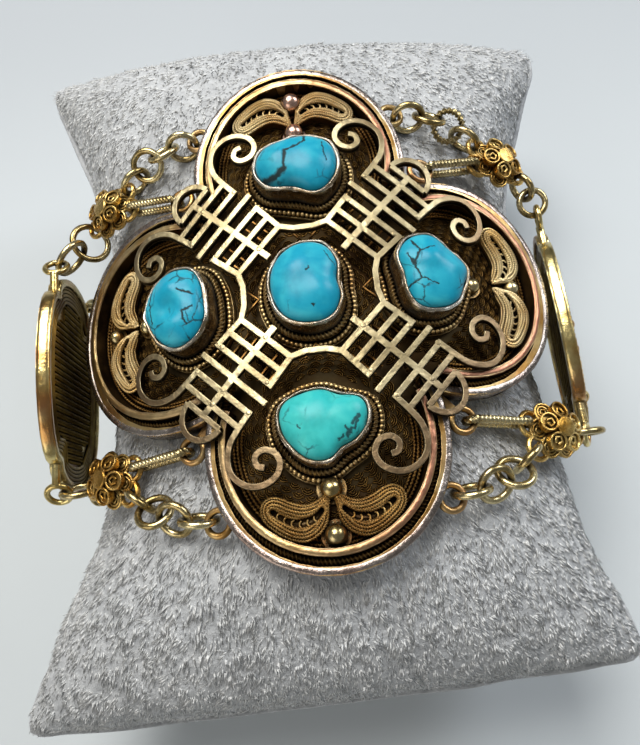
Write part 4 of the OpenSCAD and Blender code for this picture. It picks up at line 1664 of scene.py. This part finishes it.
@dataclass
class BarLink:
    """A long link of twisted square wire between a ring of the panel and a flower."""

    corner: str
    wire: float = 0.4
    thick: float = 0.56
    lay: float = 2.2

    def build(self, cad: Object, gilt: Material) -> None:
        """Makes and dresses the link.

        Args:
            cad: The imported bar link.
            gilt: Its finish.
        """
        cloud = points_of(cad) / MM - ORIGIN
        middle = (cloud.min(0) + cloud.max(0)) / 2
        lie = lie_of(cloud - middle)
        reach, half = ((cloud - middle) @ lie[:, :2]).max(0) - self.wire
        bend = np.vstack([arc((reach - half, 0), half, -90, 90, 12), arc((half - reach, 0), half, 90, 270, 12)])
        link = draw_wire("link", at_height(bend, 0), self.thick, Wire.SQUARE, True, self.lay)
        link.data.transform(Matrix.Translation(Vector(middle)) @ Matrix(lie.tolist()).to_4x4())
        link.name = f"twisted_bar_link_{self.corner}"
        finish(link, gilt, 50, f"bar_link_{self.corner}")


@dataclass
class SidePanel:
    """The wirework on both faces of a lobed side panel."""

    side: str
    centre: tuple[float, float, float]
    lean: float
    turn: float
    half_l: float = 11.5
    half_h: float = 7.4
    bulge: float = 4.9
    end_bulge: float = 3.5
    depth: float = 0.8
    width: float = 0.9

    def build(self, weave: Material, gilt: Material, band: Material) -> None:
        """Makes and dresses the wirework and the band.

        Args:
            weave: Finish of the woven inner face.
            gilt: Finish of the outer ornament.
            band: Finish of the polished band.
        """
        for piece, material in ((self._weave(), weave), (self._outer(), gilt), (self._band(), band)):
            piece.data.transform(self._place())
            finish(piece, material)

    def _place(self) -> Matrix:
        """Where the panel's own drawing lies on the bracelet.

        Returns:
            The matrix; the drawing's z axis points away from the cushion.
        """
        out = 1 if self.side == "right" else -1
        upright = Matrix(((0, 0, out, 0), (out, 0, 0, 0), (0, 1, 0, 0), (0, 0, 0, 1)))
        lean = Matrix.Rotation(math.radians(-out * self.lean), 4, "Y")
        turn = Matrix.Rotation(math.radians(self.turn), 4, "X")
        return Matrix.Translation(self.centre) @ lean @ turn @ upright

    def outline(self) -> np.ndarray:
        """The lobed outline: four half ellipses that meet at the corners.

        Returns:
            Flat anticlockwise points along and up the panel.
        """
        points = []
        corners = np.array([(1, 1), (-1, 1), (-1, -1), (1, -1)]) * (self.half_l, self.half_h)
        for i, a in enumerate(corners):
            b = corners[(i + 1) % 4]
            u = (b - a) / np.linalg.norm(b - a)
            out = np.array([u[1], -u[0]])
            t = np.linspace(0, math.pi, 48)[:-1, None]
            rise = self.bulge if i % 2 == 0 else self.end_bulge
            half = np.linalg.norm(b - a) / 2
            points.append((a + b) / 2 - half * np.cos(t) * u + rise * np.sin(t) * out)
        return np.vstack(points)

    def _band(self) -> Object:
        """The polished band, softened by wear, over the plain rim of the model.

        Returns:
            The band on the panel's own axes.
        """
        d, w = self.depth + 0.03, self.width
        profile = [(w, -0.08), (w + 0.02, 0.14 - d), (w - 0.14, -d), (0.12, -d), (-0.03, 0.14 - d), (-0.07, -0.3)]
        profile += [(-0.07, 0.3), (-0.03, d - 0.14), (0.12, d), (w - 0.14, d), (w + 0.02, d - 0.14), (w, 0.45)]
        line = self.outline()
        rows = [uneven(at_height(inset(line, way), z), 0.03) for way, z in profile]
        return sheet(f"polished_band_{self.side}", rows)

    def _weave(self) -> Object:
        """Smooth border wires that follow the outline, and upright columns of plaited wire inside them.

        Returns:
            The inner face's wirework on the panel's own axes.
        """
        face, first_row, row_pitch, column_pitch = -0.1, 1.15, 0.52, 0.42
        line = self.outline()
        wires = []
        for i in range(5):
            row = smooth_path(trimmed(line, first_row + row_pitch * i)[::4], 4, True)
            wires.append(draw_wire("row", at_height(row, face - 0.16), 0.26, Wire.ROUND, True))
        border = trimmed(line, first_row + row_pitch * 4.9)
        for i in range(-36, 37):
            x = column_pitch * i
            span = [y for y in np.linspace(-12.5, 12.5, 201) if inside(border, x, y)]
            if len(span) < 10:
                continue
            column = at_height(np.array([[x, span[0]], [x, span[-1]]]), face - 0.14)
            wires.append(draw_wire("column", column, 0.25, Wire.ROPE, False, 1.15 if i % 2 else -1.15))
        return join(f"woven_back_{self.side}", *wires)

    def _outer(self) -> Object:
        """Ropes, granules and coils on the face that looks away from the cushion.

        Returns:
            The outer face's wirework on the panel's own axes.
        """
        face = 0.5
        line = self.outline()
        rope = smooth_path(trimmed(line, 1.3)[::3], 3, True)
        parts = [draw_wire("rope", at_height(rope, face + 0.25), 0.34, Wire.ROPE, True, 1.2)]
        places = beads_along(trimmed(line, 2.15), face + 0.2, 1.0, 0.46)
        places += beads_along(arc((0, 0), 3.7, 0, 360, 60)[:-1], face + 0.2, 0.95, 0.42)
        parts.append(copies("beads", granule(), places))
        for radius in (3.1, 2.3):
            ring = at_height(arc((0, 0), radius, 0, 360, 60)[:-1], face + (0.4 if radius > 3 else 1.0))
            parts.append(draw_wire("collar", ring, 0.3, Wire.ROPE, True, 1.1))
        knots = np.array([(8.6, 1.4), (9.4, 4), (7.4, 6.6), (4.6, 6.8), (4.4, 5), (6, 4.4), (6.6, 5.4)])
        for mirrored in ((-1, -1), (-1, 1), (1, -1), (1, 1)):
            scroll = at_height(smooth_path(knots * mirrored, 8), face + 0.3)
            parts.append(draw_wire("scroll", scroll, 0.32, Wire.STRIP))
        return join(f"outer_wirework_{self.side}", *parts)


@dataclass
class PlushCushion:
    """The stuffed plush pillow inside the loop."""

    node: str = "display_cushion"
    voxel_m: float = 0.0028
    fibres: int = 41000
    shrink_m: float = 0.0008
    cap_m: float = 0.0016
    bare_below_m: float = 0.004
    near_end_m: float = -0.012
    clumps_per_m: float = 700
    strands_per_m: float = 4000
    seam_mm: float = 25
    half_mm: tuple[float, float] = (44, 54)

    def build(self, cad: Object, backing: Material, pile: Material) -> None:
        """Makes and dresses the cushion.

        Args:
            cad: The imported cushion.
            backing: The cloth under the fibres.
            pile: The fibres.
        """
        pick(cad)
        bpy.ops.object.duplicate()
        cushion = bpy.context.object
        cushion.name = "plush_cushion"
        cushion.parent = None
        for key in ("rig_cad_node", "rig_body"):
            if key in cushion:
                del cushion[key]
        with editing(cushion):
            bpy.ops.mesh.remove_doubles(threshold=1e-5)
        cushion.data.remesh_voxel_size = self.voxel_m
        bpy.ops.object.voxel_remesh()
        self._shrink(cushion)
        self._inflate(cushion)
        apply_modifier(cushion, "SUBSURF", levels=1, render_levels=1)
        self._tuft(cushion)
        cushion.data.materials.clear()
        cushion.data.materials.append(backing)
        bpy.ops.object.shade_smooth()
        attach(cushion, ROOT)
        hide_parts(self.node)
        self._piping(cushion, backing)
        for half in ("near", "far"):
            self._pile(cushion, pile, half)
        LOG.info("%s: %d faces", cushion.name, len(cushion.data.polygons))

    def _normals(self, cushion: Object) -> np.ndarray:
        """Reads the directions in which the vertices face.

        Args:
            cushion: The cushion.

        Returns:
            One unit vector for each vertex.
        """
        flat = np.empty(len(cushion.data.vertices) * 3)
        cushion.data.vertices.foreach_get("normal", flat)
        return flat.reshape(-1, 3)

    def _shrink(self, cushion: Object) -> None:
        """Draws the cloth in a little, so that it can swell."""
        move_points(cushion, points_of(cushion) - self.shrink_m * self._normals(cushion))

    def _inflate(self, cushion: Object) -> None:
        """Fills the cushion with a short cloth simulation and limits how far it swells.

        Args:
            cushion: The cushion.
        """
        before = points_of(cushion)
        cloth = cushion.modifiers.new("stuffing", "CLOTH")
        cloth.settings.use_pressure = True
        cloth.settings.uniform_pressure_force = 4
        cloth.settings.effector_weights.gravity = 0
        cloth.settings.quality = 4
        cloth.collision_settings.use_collision = False
        scene = bpy.context.scene
        for frame in range(1, 21):
            scene.frame_set(frame)
        pick(cushion)
        bpy.ops.object.modifier_apply(modifier="stuffing")
        scene.frame_set(1)
        move = points_of(cushion) - before
        way = np.linalg.norm(move, axis=1, keepdims=True)
        capped = before + move * np.minimum(1, self.cap_m / np.maximum(way, 1e-9))
        capped[:, 2] = np.maximum(capped[:, 2], 0.0002)
        move_points(cushion, capped)

    def _pile(self, cushion: Object, pile: Material, half: str) -> None:
        """Plants fibres over half of the cushion, combed towards the near end and clumped into tufts.

        Args:
            cushion: The finished cushion.
            pile: Finish of the fibres.
            half: Which half of the cushion, near or far.
        """
        mesh = cushion.data
        places, out = points_of(cushion), self._normals(cushion)
        corners = np.array([tuple(face.vertices)[:3] for face in mesh.polygons])
        a, b, c = (places[corners[:, k]] for k in range(3))
        area = np.linalg.norm(np.cross(b - a, c - a), axis=1)
        area[np.minimum(np.minimum(a[:, 2], b[:, 2]), c[:, 2]) < self.bare_below_m] = 0
        area[(a[:, 1] < self.near_end_m) != (half == "near")] = 0
        rng = np.random.default_rng(len(half))
        chosen = rng.choice(len(area), self.fibres, p=area / area.sum())
        u, v = rng.random((2, self.fibres, 1))
        spot = a[chosen] + u * (b - a)[chosen] + v * (c - a)[chosen]
        normal = out[corners[chosen, 0]]
        blade = fresh(
            bpy.ops.mesh.primitive_cone_add, vertices=3, radius1=1, radius2=0, depth=1, location=(0, 0, 0.5)
        )
        bpy.ops.object.transform_apply(location=True, rotation=True, scale=True)
        with editing(blade):
            bpy.ops.transform.resize(value=(1, 0.5, 1), center_override=(0, 0, 0))
        matrices = []
        widths, lengths = rng.uniform(0.11, 0.2, self.fibres), rng.uniform(0.8, 1.5, self.fibres)
        for p, n, wide, long in zip(spot, normal, widths, lengths):
            clump = noise.noise_vector(Vector(p) * self.clumps_per_m)
            strand = noise.noise_vector(Vector(p) * self.strands_per_m)
            lay = Vector((18 * p[0], -1, -0.25)) + 1.1 * clump + 0.6 * strand
            n = Vector(n)
            along = (lay - lay.dot(n) * n).normalized()
            axis = (along + n * (0.32 + 0.16 * clump.x + 0.12 * strand.x)).normalized()
            side = axis.cross(n).normalized()
            up = side.cross(axis)
            frame = Matrix((side * wide, up * wide, axis * long)).transposed().to_4x4()
            matrices.append(Matrix.Translation(Vector(p) / MM - Vector(ORIGIN) - 0.1 * n) @ frame)
        finish(copies(f"plush_pile_{half}", blade, matrices), pile, 180, slot=Slot.PLUSH)

    def _piping(self, cushion: Object, plush: Material) -> None:
        """Sews a folded hem round the seam where the two halves of the cover meet.

        Args:
            cushion: The finished cushion.
            plush: Its cloth.
        """
        places = points_of(cushion) / MM - ORIGIN
        belt = places[np.abs(places[:, 2] - self.seam_mm) < 1.2]
        x, y = (belt[:, :2] / self.half_mm).T
        angle = np.arctan2(y, x)
        count = 150
        which = np.floor((angle + math.pi) / (2 * math.pi) * count).astype(int) % count
        reach = np.hypot(x, y)
        rim = [belt[which == k][np.argmax(reach[which == k])] for k in range(count) if np.any(which == k)]
        line = smooth_path(evenly(np.array(rim), 90, True), 5, True)
        line[:, 2] = self.seam_mm + 0.25 * np.sin(np.arange(len(line)) * 0.35)
        finish(draw_wire("seam_hem", line, 0.75, Wire.ROUND, True), plush, 80, slot=Slot.PLUSH)

    def _tuft(self, cushion: Object) -> None:
        """Raises the pile in soft tufts.

        Args:
            cushion: The cushion.
        """
        places = points_of(cushion)
        out = self._normals(cushion)
        rise = np.array([noise.fractal(Vector(p) * 420, 0.8, 2.1, 3) for p in places])
        places = places + out * (0.0003 * rise)[:, None]
        places[:, 2] = np.maximum(places[:, 2], 0.0)
        move_points(cushion, places)


@dataclass
class Studio:
    """The camera where the photograph was taken, a pale sweep and soft light."""

    camera_mm: tuple[float, float, float] = (3.8527, -35.9908, 117.4228)
    turns: tuple[float, float, float] = (-0.3079, -0.0356, 0.1168)
    focal_px: float = 640.0

    def place_camera(self) -> None:
        """Sets the camera with the fitted place, turn and lens."""
        camera = fresh(bpy.ops.object.camera_add)
        camera.name = "photo_camera"
        about_x, about_y, about_z = (Matrix.Rotation(turn, 3, axis) for turn, axis in zip(self.turns, "XYZ"))
        seen = about_z @ about_y @ about_x
        camera.matrix_world = Matrix.Translation(Vector(self.camera_mm) * MM) @ seen.transposed().to_4x4()
        camera.data.sensor_fit = "HORIZONTAL"
        camera.data.sensor_width = 36.0
        camera.data.lens = 36.0 * self.focal_px / 640.0
        camera.data.clip_start = 0.01
        camera.data.clip_end = 20
        bpy.context.scene.camera = camera
        bpy.context.scene.view_settings.view_transform = "Standard"
        LOG.info("camera at %s mm", self.camera_mm)

    def lay_floor(self, card: Material) -> None:
        """Sweeps a card floor up behind the object.

        Args:
            card: Finish of the card.
        """
        floor = fresh(bpy.ops.mesh.primitive_plane_add, size=3.0, location=(0, 0, 0))
        floor.name = "card_sweep"
        bpy.ops.object.transform_apply(location=True, rotation=True, scale=True)
        bpy.ops.object.mode_set(mode="EDIT")
        bpy.ops.mesh.select_mode(type="EDGE")
        bpy.ops.mesh.select_all(action="DESELECT")
        bpy.ops.object.mode_set(mode="OBJECT")
        for edge in floor.data.edges:
            edge.select = all(floor.data.vertices[v].co.y > 1 for v in edge.vertices)
        bpy.ops.object.mode_set(mode="EDIT")
        bpy.ops.mesh.extrude_region_move(TRANSFORM_OT_translate={"value": (0, 0.0, 1.8)})
        bpy.ops.mesh.select_mode(type="VERT")
        bpy.ops.object.mode_set(mode="OBJECT")
        apply_modifier(floor, "BEVEL", width=0.5, segments=16)
        bpy.ops.object.shade_smooth()
        floor.data.materials.append(card)

    def hang_lights(self) -> None:
        """Hangs one broad light overhead, a window light behind and a weak fill in front."""
        lamps = (
            ("overhead", (-0.12, 0.34, 0.6), 0.42, 5.9, "#FFFDF8"),
            ("window", (0.55, 0.35, 0.45), 0.3, 2.6, "#F3F8FF"),
            ("fill", (-0.45, -0.45, 0.4), 0.5, 1.3, "#FFF8EE"),
        )
        aim = Vector((0, 0, 0.03))
        for name, place, size, power, colour in lamps:
            lamp = fresh(bpy.ops.object.light_add, type="AREA", location=place)
            lamp.name = name
            lamp.data.size = size
            lamp.data.energy = power
            lamp.data.color = linear(colour)[:3]
            lamp.rotation_euler = (aim - Vector(place)).to_track_quat("-Z", "Y").to_euler()
        world = bpy.data.worlds.new("room")
        bpy.context.scene.world = world
        world.use_nodes = True
        shade = world.node_tree.nodes["Background"]
        shade.inputs["Color"].default_value = linear("#E8ECEE")
        shade.inputs["Strength"].default_value = 0.24


def dress(cad: Object, material: Material) -> None:
    """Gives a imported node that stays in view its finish.

    Args:
        cad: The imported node.
        material: The finish.
    """
    cad.data.materials.clear()
    cad.data.materials.append(material)
    LOG.info("%s keeps its CAD shape, %s", cad.name, material.name)


def settings() -> list[StoneSetting]:
    """The five stones with their colours, matrix veins and lumps.

    Returns:
        One setting for each stone.
    """
    blue = {"body": "#1890AC", "cloud": "#3BAEBE", "shade": "#0F7A94"}
    return [
        StoneSetting(
            "top",
            Turquoise("turquoise_top", **blue, web=0.08),
            (
                ((1.3, 3.6), (1.3, 2.6), 0.1), ((1.3, 2.6), (-0.2, 1.7), 0.12),
                ((-0.2, 1.7), (-1.2, 1.2), 0.13), ((-1.2, 1.2), (-1.5, -1.2), 0.17),
                ((-1.5, -1.2), (-2.8, -2.0), 0.3), ((-2.8, -2.0), (-5.0, -1.9), 0.3),
                ((3.4, 2.4), (3.7, -0.4), 0.06),
            ),
            ((-2.4, 1.0, 1.8, 0.35), (2.0, -0.4, 1.8, 0.2)),
        ),
        StoneSetting(
            "left",
            Turquoise("turquoise_left", **blue, web=0.17),
            (
                ((-2.2, 3.6), (-2.6, 0.5), 0.08), ((1.5, 1.6), (3.2, 0.9), 0.12),
                ((1.8, -1.3), (3.0, -0.7), 0.1), ((1.8, -1.3), (2.2, -2.8), 0.12),
                ((-2.4, 0.4), (-2.4, -2.2), 0.07),
            ),
            ((0.3, 2.2, 1.6, 0.5), (-0.2, -0.6, 1.4, -0.45), (0.4, -2.6, 1.3, 0.3)),
        ),
        StoneSetting(
            "centre",
            Turquoise("turquoise_centre", **blue),
            (((0.4, 0.7), (0.7, 1.0), 0.1), ((0.6, -3.4), (0.8, -3.5), 0.1), ((2.6, 3.2), (3.6, 1.4), 0.05)),
            ((-0.6, 1.6, 1.7, 0.3), (1.8, -1.8, 1.6, 0.25)),
        ),
        StoneSetting(
            "right",
            Turquoise("turquoise_right", **blue, web=0.12),
            (
                ((-2.6, 3.6), (-2.0, 1.9), 0.12), ((-2.0, 1.9), (-2.8, 0.4), 0.13),
                ((-2.0, 1.9), (-0.2, 2.4), 0.08), ((-2.8, 0.4), (-3.4, 1.8), 0.1),
                ((-2.8, 0.4), (-2.2, -1.4), 0.1), ((-2.2, -1.4), (-3.6, -2.2), 0.1),
                ((-2.2, -1.4), (-0.4, -2.4), 0.06),
            ),
            ((-0.6, 1.2, 1.5, 0.45), (1.6, -0.8, 1.7, 0.25)),
        ),
        StoneSetting(
            "bottom",
            Turquoise("turquoise_bottom", "#31ACAC", "#4FC0B8", "#1F918E", "#1C4448", 0.1),
            (
                ((2.2, -1.5), (2.8, -0.8), 0.15), ((2.9, -0.3), (3.8, 0.6), 0.14),
                ((2.1, -0.6), (2.7, -1.2), 0.1), ((3.5, 0.0), (3.0, -0.9), 0.11),
                ((1.3, -1.9), (1.8, -1.5), 0.1), ((-2.9, 0.1), (-2.7, -0.3), 0.07),
            ),
            ((-1.4, 1.0, 2.0, 0.2),),
        ),
    ]


def gilt_finishes() -> dict[str, Material]:
    """The bracelet's metal finishes.

    Returns:
        The materials by the part of the bracelet that shows them.
    """
    kinds = {
        "wire": GiltSilver("fire_gilt_wirework", "#B48F57", "#E3C68C", "#A2703C", 0.3),
        "flower": GiltSilver("bright_gilt_flower", "#AE8238", "#E6C880", "#9C6832", 0.27, 1.0, 0.6),
        "leaf": GiltSilver("gilt_leaf_wire", "#AE803F", "#E2BC78", "#9C6A38", 0.32, 1.1, 0.5),
        # A lighter copy of the leaf gilt: painted light for the leaves that catch the light.
        "painted lit leaf": GiltSilver("gilt_leaf_wire_painted_lit", "#D8B26E", "#F8E4B4", "#CC9C60", 0.4, 0.7, 0.4),
        "rose ball": GiltSilver("rose_gilt_ball", "#C49A84", "#EAD6C6", "#BE8670", 0.24),
        "channel": GiltSilver("brown_channel_rope", "#5A4226", "#9A7A48", "#3E2C1A", 0.36, 1.2, 0.6),
        # Near-black gilt laid where there is only shade: painted shadow on the channel walls and the leaves' floors.
        "shadow": GiltSilver("gilt_painted_as_shadow", "#2E2216", "#5A4529", "#241A12", 0.5, 1.6),
        "coils": GiltSilver("tarnished_gilt_coils", "#3A2814", "#9A763F", "#2C1F16", 0.34, 1.7, 0.5),
        "fret": GiltSilver(
            "rubbed_gilt_strip", "#8E8060", "#C4B690", "#77634A", 0.36, 1.2, 0.9, 0.2,
            far_mm=23, field_top_mm=3.75, dent=0.5, edge_mm=0.16,
        ),
        "panel": GiltSilver(
            "worn_gilt_panel", "#A67C42", "#CDB27C", "#A8765A", blush_share=0.5, field_top_mm=1.15, bezel_mm=2.9
        ),
        "outer rim": GiltSilver(
            "rim_of_worn_silver", "#857A72", "#B0A59C", "#9E8074", 0.26, blush_share=0.6, dent=0.45
        ),
        "inner rim": GiltSilver(
            "rim_of_gilt_copper", "#A08454", "#C6AC7E", "#B87C66", dent=0.45, blush_from_x=-4, blush_to_x=14
        ),
        "bezel": GiltSilver("fine_silver_bezel", "#A08C70", "#E4DED2", "#A8845C", 0.24, dent=0.5),
        "chain": GiltSilver("gilt_chain", "#9C8757", "#E4D4A4", "#755B33", 0.24),
        "copper": GiltSilver("thin_gilt_copper", "#664722", "#94703E", "#74482A", 0.34),
        "weave": GiltSilver("tarnished_gilt_weave", "#6E5428", "#A88E4A", "#4A3620", 0.36, 1.4, 0.5),
        "band": GiltSilver("polished_gilt_band", "#BFA463", "#EBDCA0", "#A5582E", 0.22, blush_share=0.7),
    }
    return {part: kind.build() for part, kind in kinds.items()}


def main() -> None:
    """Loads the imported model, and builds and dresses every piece."""
    logging.basicConfig(level=logging.INFO, format="%(name)s: %(message)s")
    # Without a seed, Blender's vector noise starts from the time of day and differs in every run.
    noise.seed_set(NOISE_SEED)
    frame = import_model()
    nodes = frame["nodes"]

    studio = Studio()
    studio.place_camera()
    studio.lay_floor(StudioPaper().build())
    studio.hang_lights()

    metal = gilt_finishes()
    dress(nodes["centre_panel"], metal["panel"])
    dress(nodes["fret_overlay"], metal["fret"])
    for name in ("side_panel_left", "side_panel_right"):
        dress(nodes[name], metal["band"])
    for name in nodes:
        if name.startswith("back_chain") or name == "box_clasp":
            dress(nodes[name], metal["chain"])

    for setting in settings():
        setting.build(metal["wire"], metal["bezel"])
    Rims().build(metal["outer rim"], metal["inner rim"], metal["shadow"])
    FiligreeGround().build(metal["coils"], metal["copper"], metal["channel"])
    leaves, balls = (metal["painted lit leaf"], metal["leaf"]), (metal["rose ball"], metal["chain"])
    LobeOrnament().build(leaves, balls, metal["shadow"])
    FretDetail().build(metal["fret"], metal["copper"])
    for corner, turn in (("upper_left", 10), ("upper_right", 25), ("lower_left", 40), ("lower_right", 0)):
        Rosette(corner, turn).build(metal["flower"])
        BarLink(corner).build(nodes[f"bar_link_{corner}"], metal["chain"])
        ribbed = 2 if corner == "upper_right" else -1
        for run in (ChainRun(f"inner_chain_{corner}", ribbed), ChainRun(f"outer_chain_{corner}")):
            run.build(nodes[run.node], metal["chain"])
    for panel in (SidePanel("left", (-35.8, -3.4, 32.6), 8.2, 6.3), SidePanel("right", (35, -2.5, 26.8), 14.4, 2.2)):
        panel.build(metal["weave"], metal["wire"], metal["band"])
    # The backing's darker grey is partly the cloth and partly painted shade in the partings between the fibres.
    backing = Plush("plush_backing_painted_shade", "#BEC0C2", "#989A9D").build()
    pile = Plush("polyester_pile", "#EAEAE9", "#BEC0C1").build()
    PlushCushion().build(nodes["display_cushion"], backing, pile)


if __name__ == "__main__":
    main()
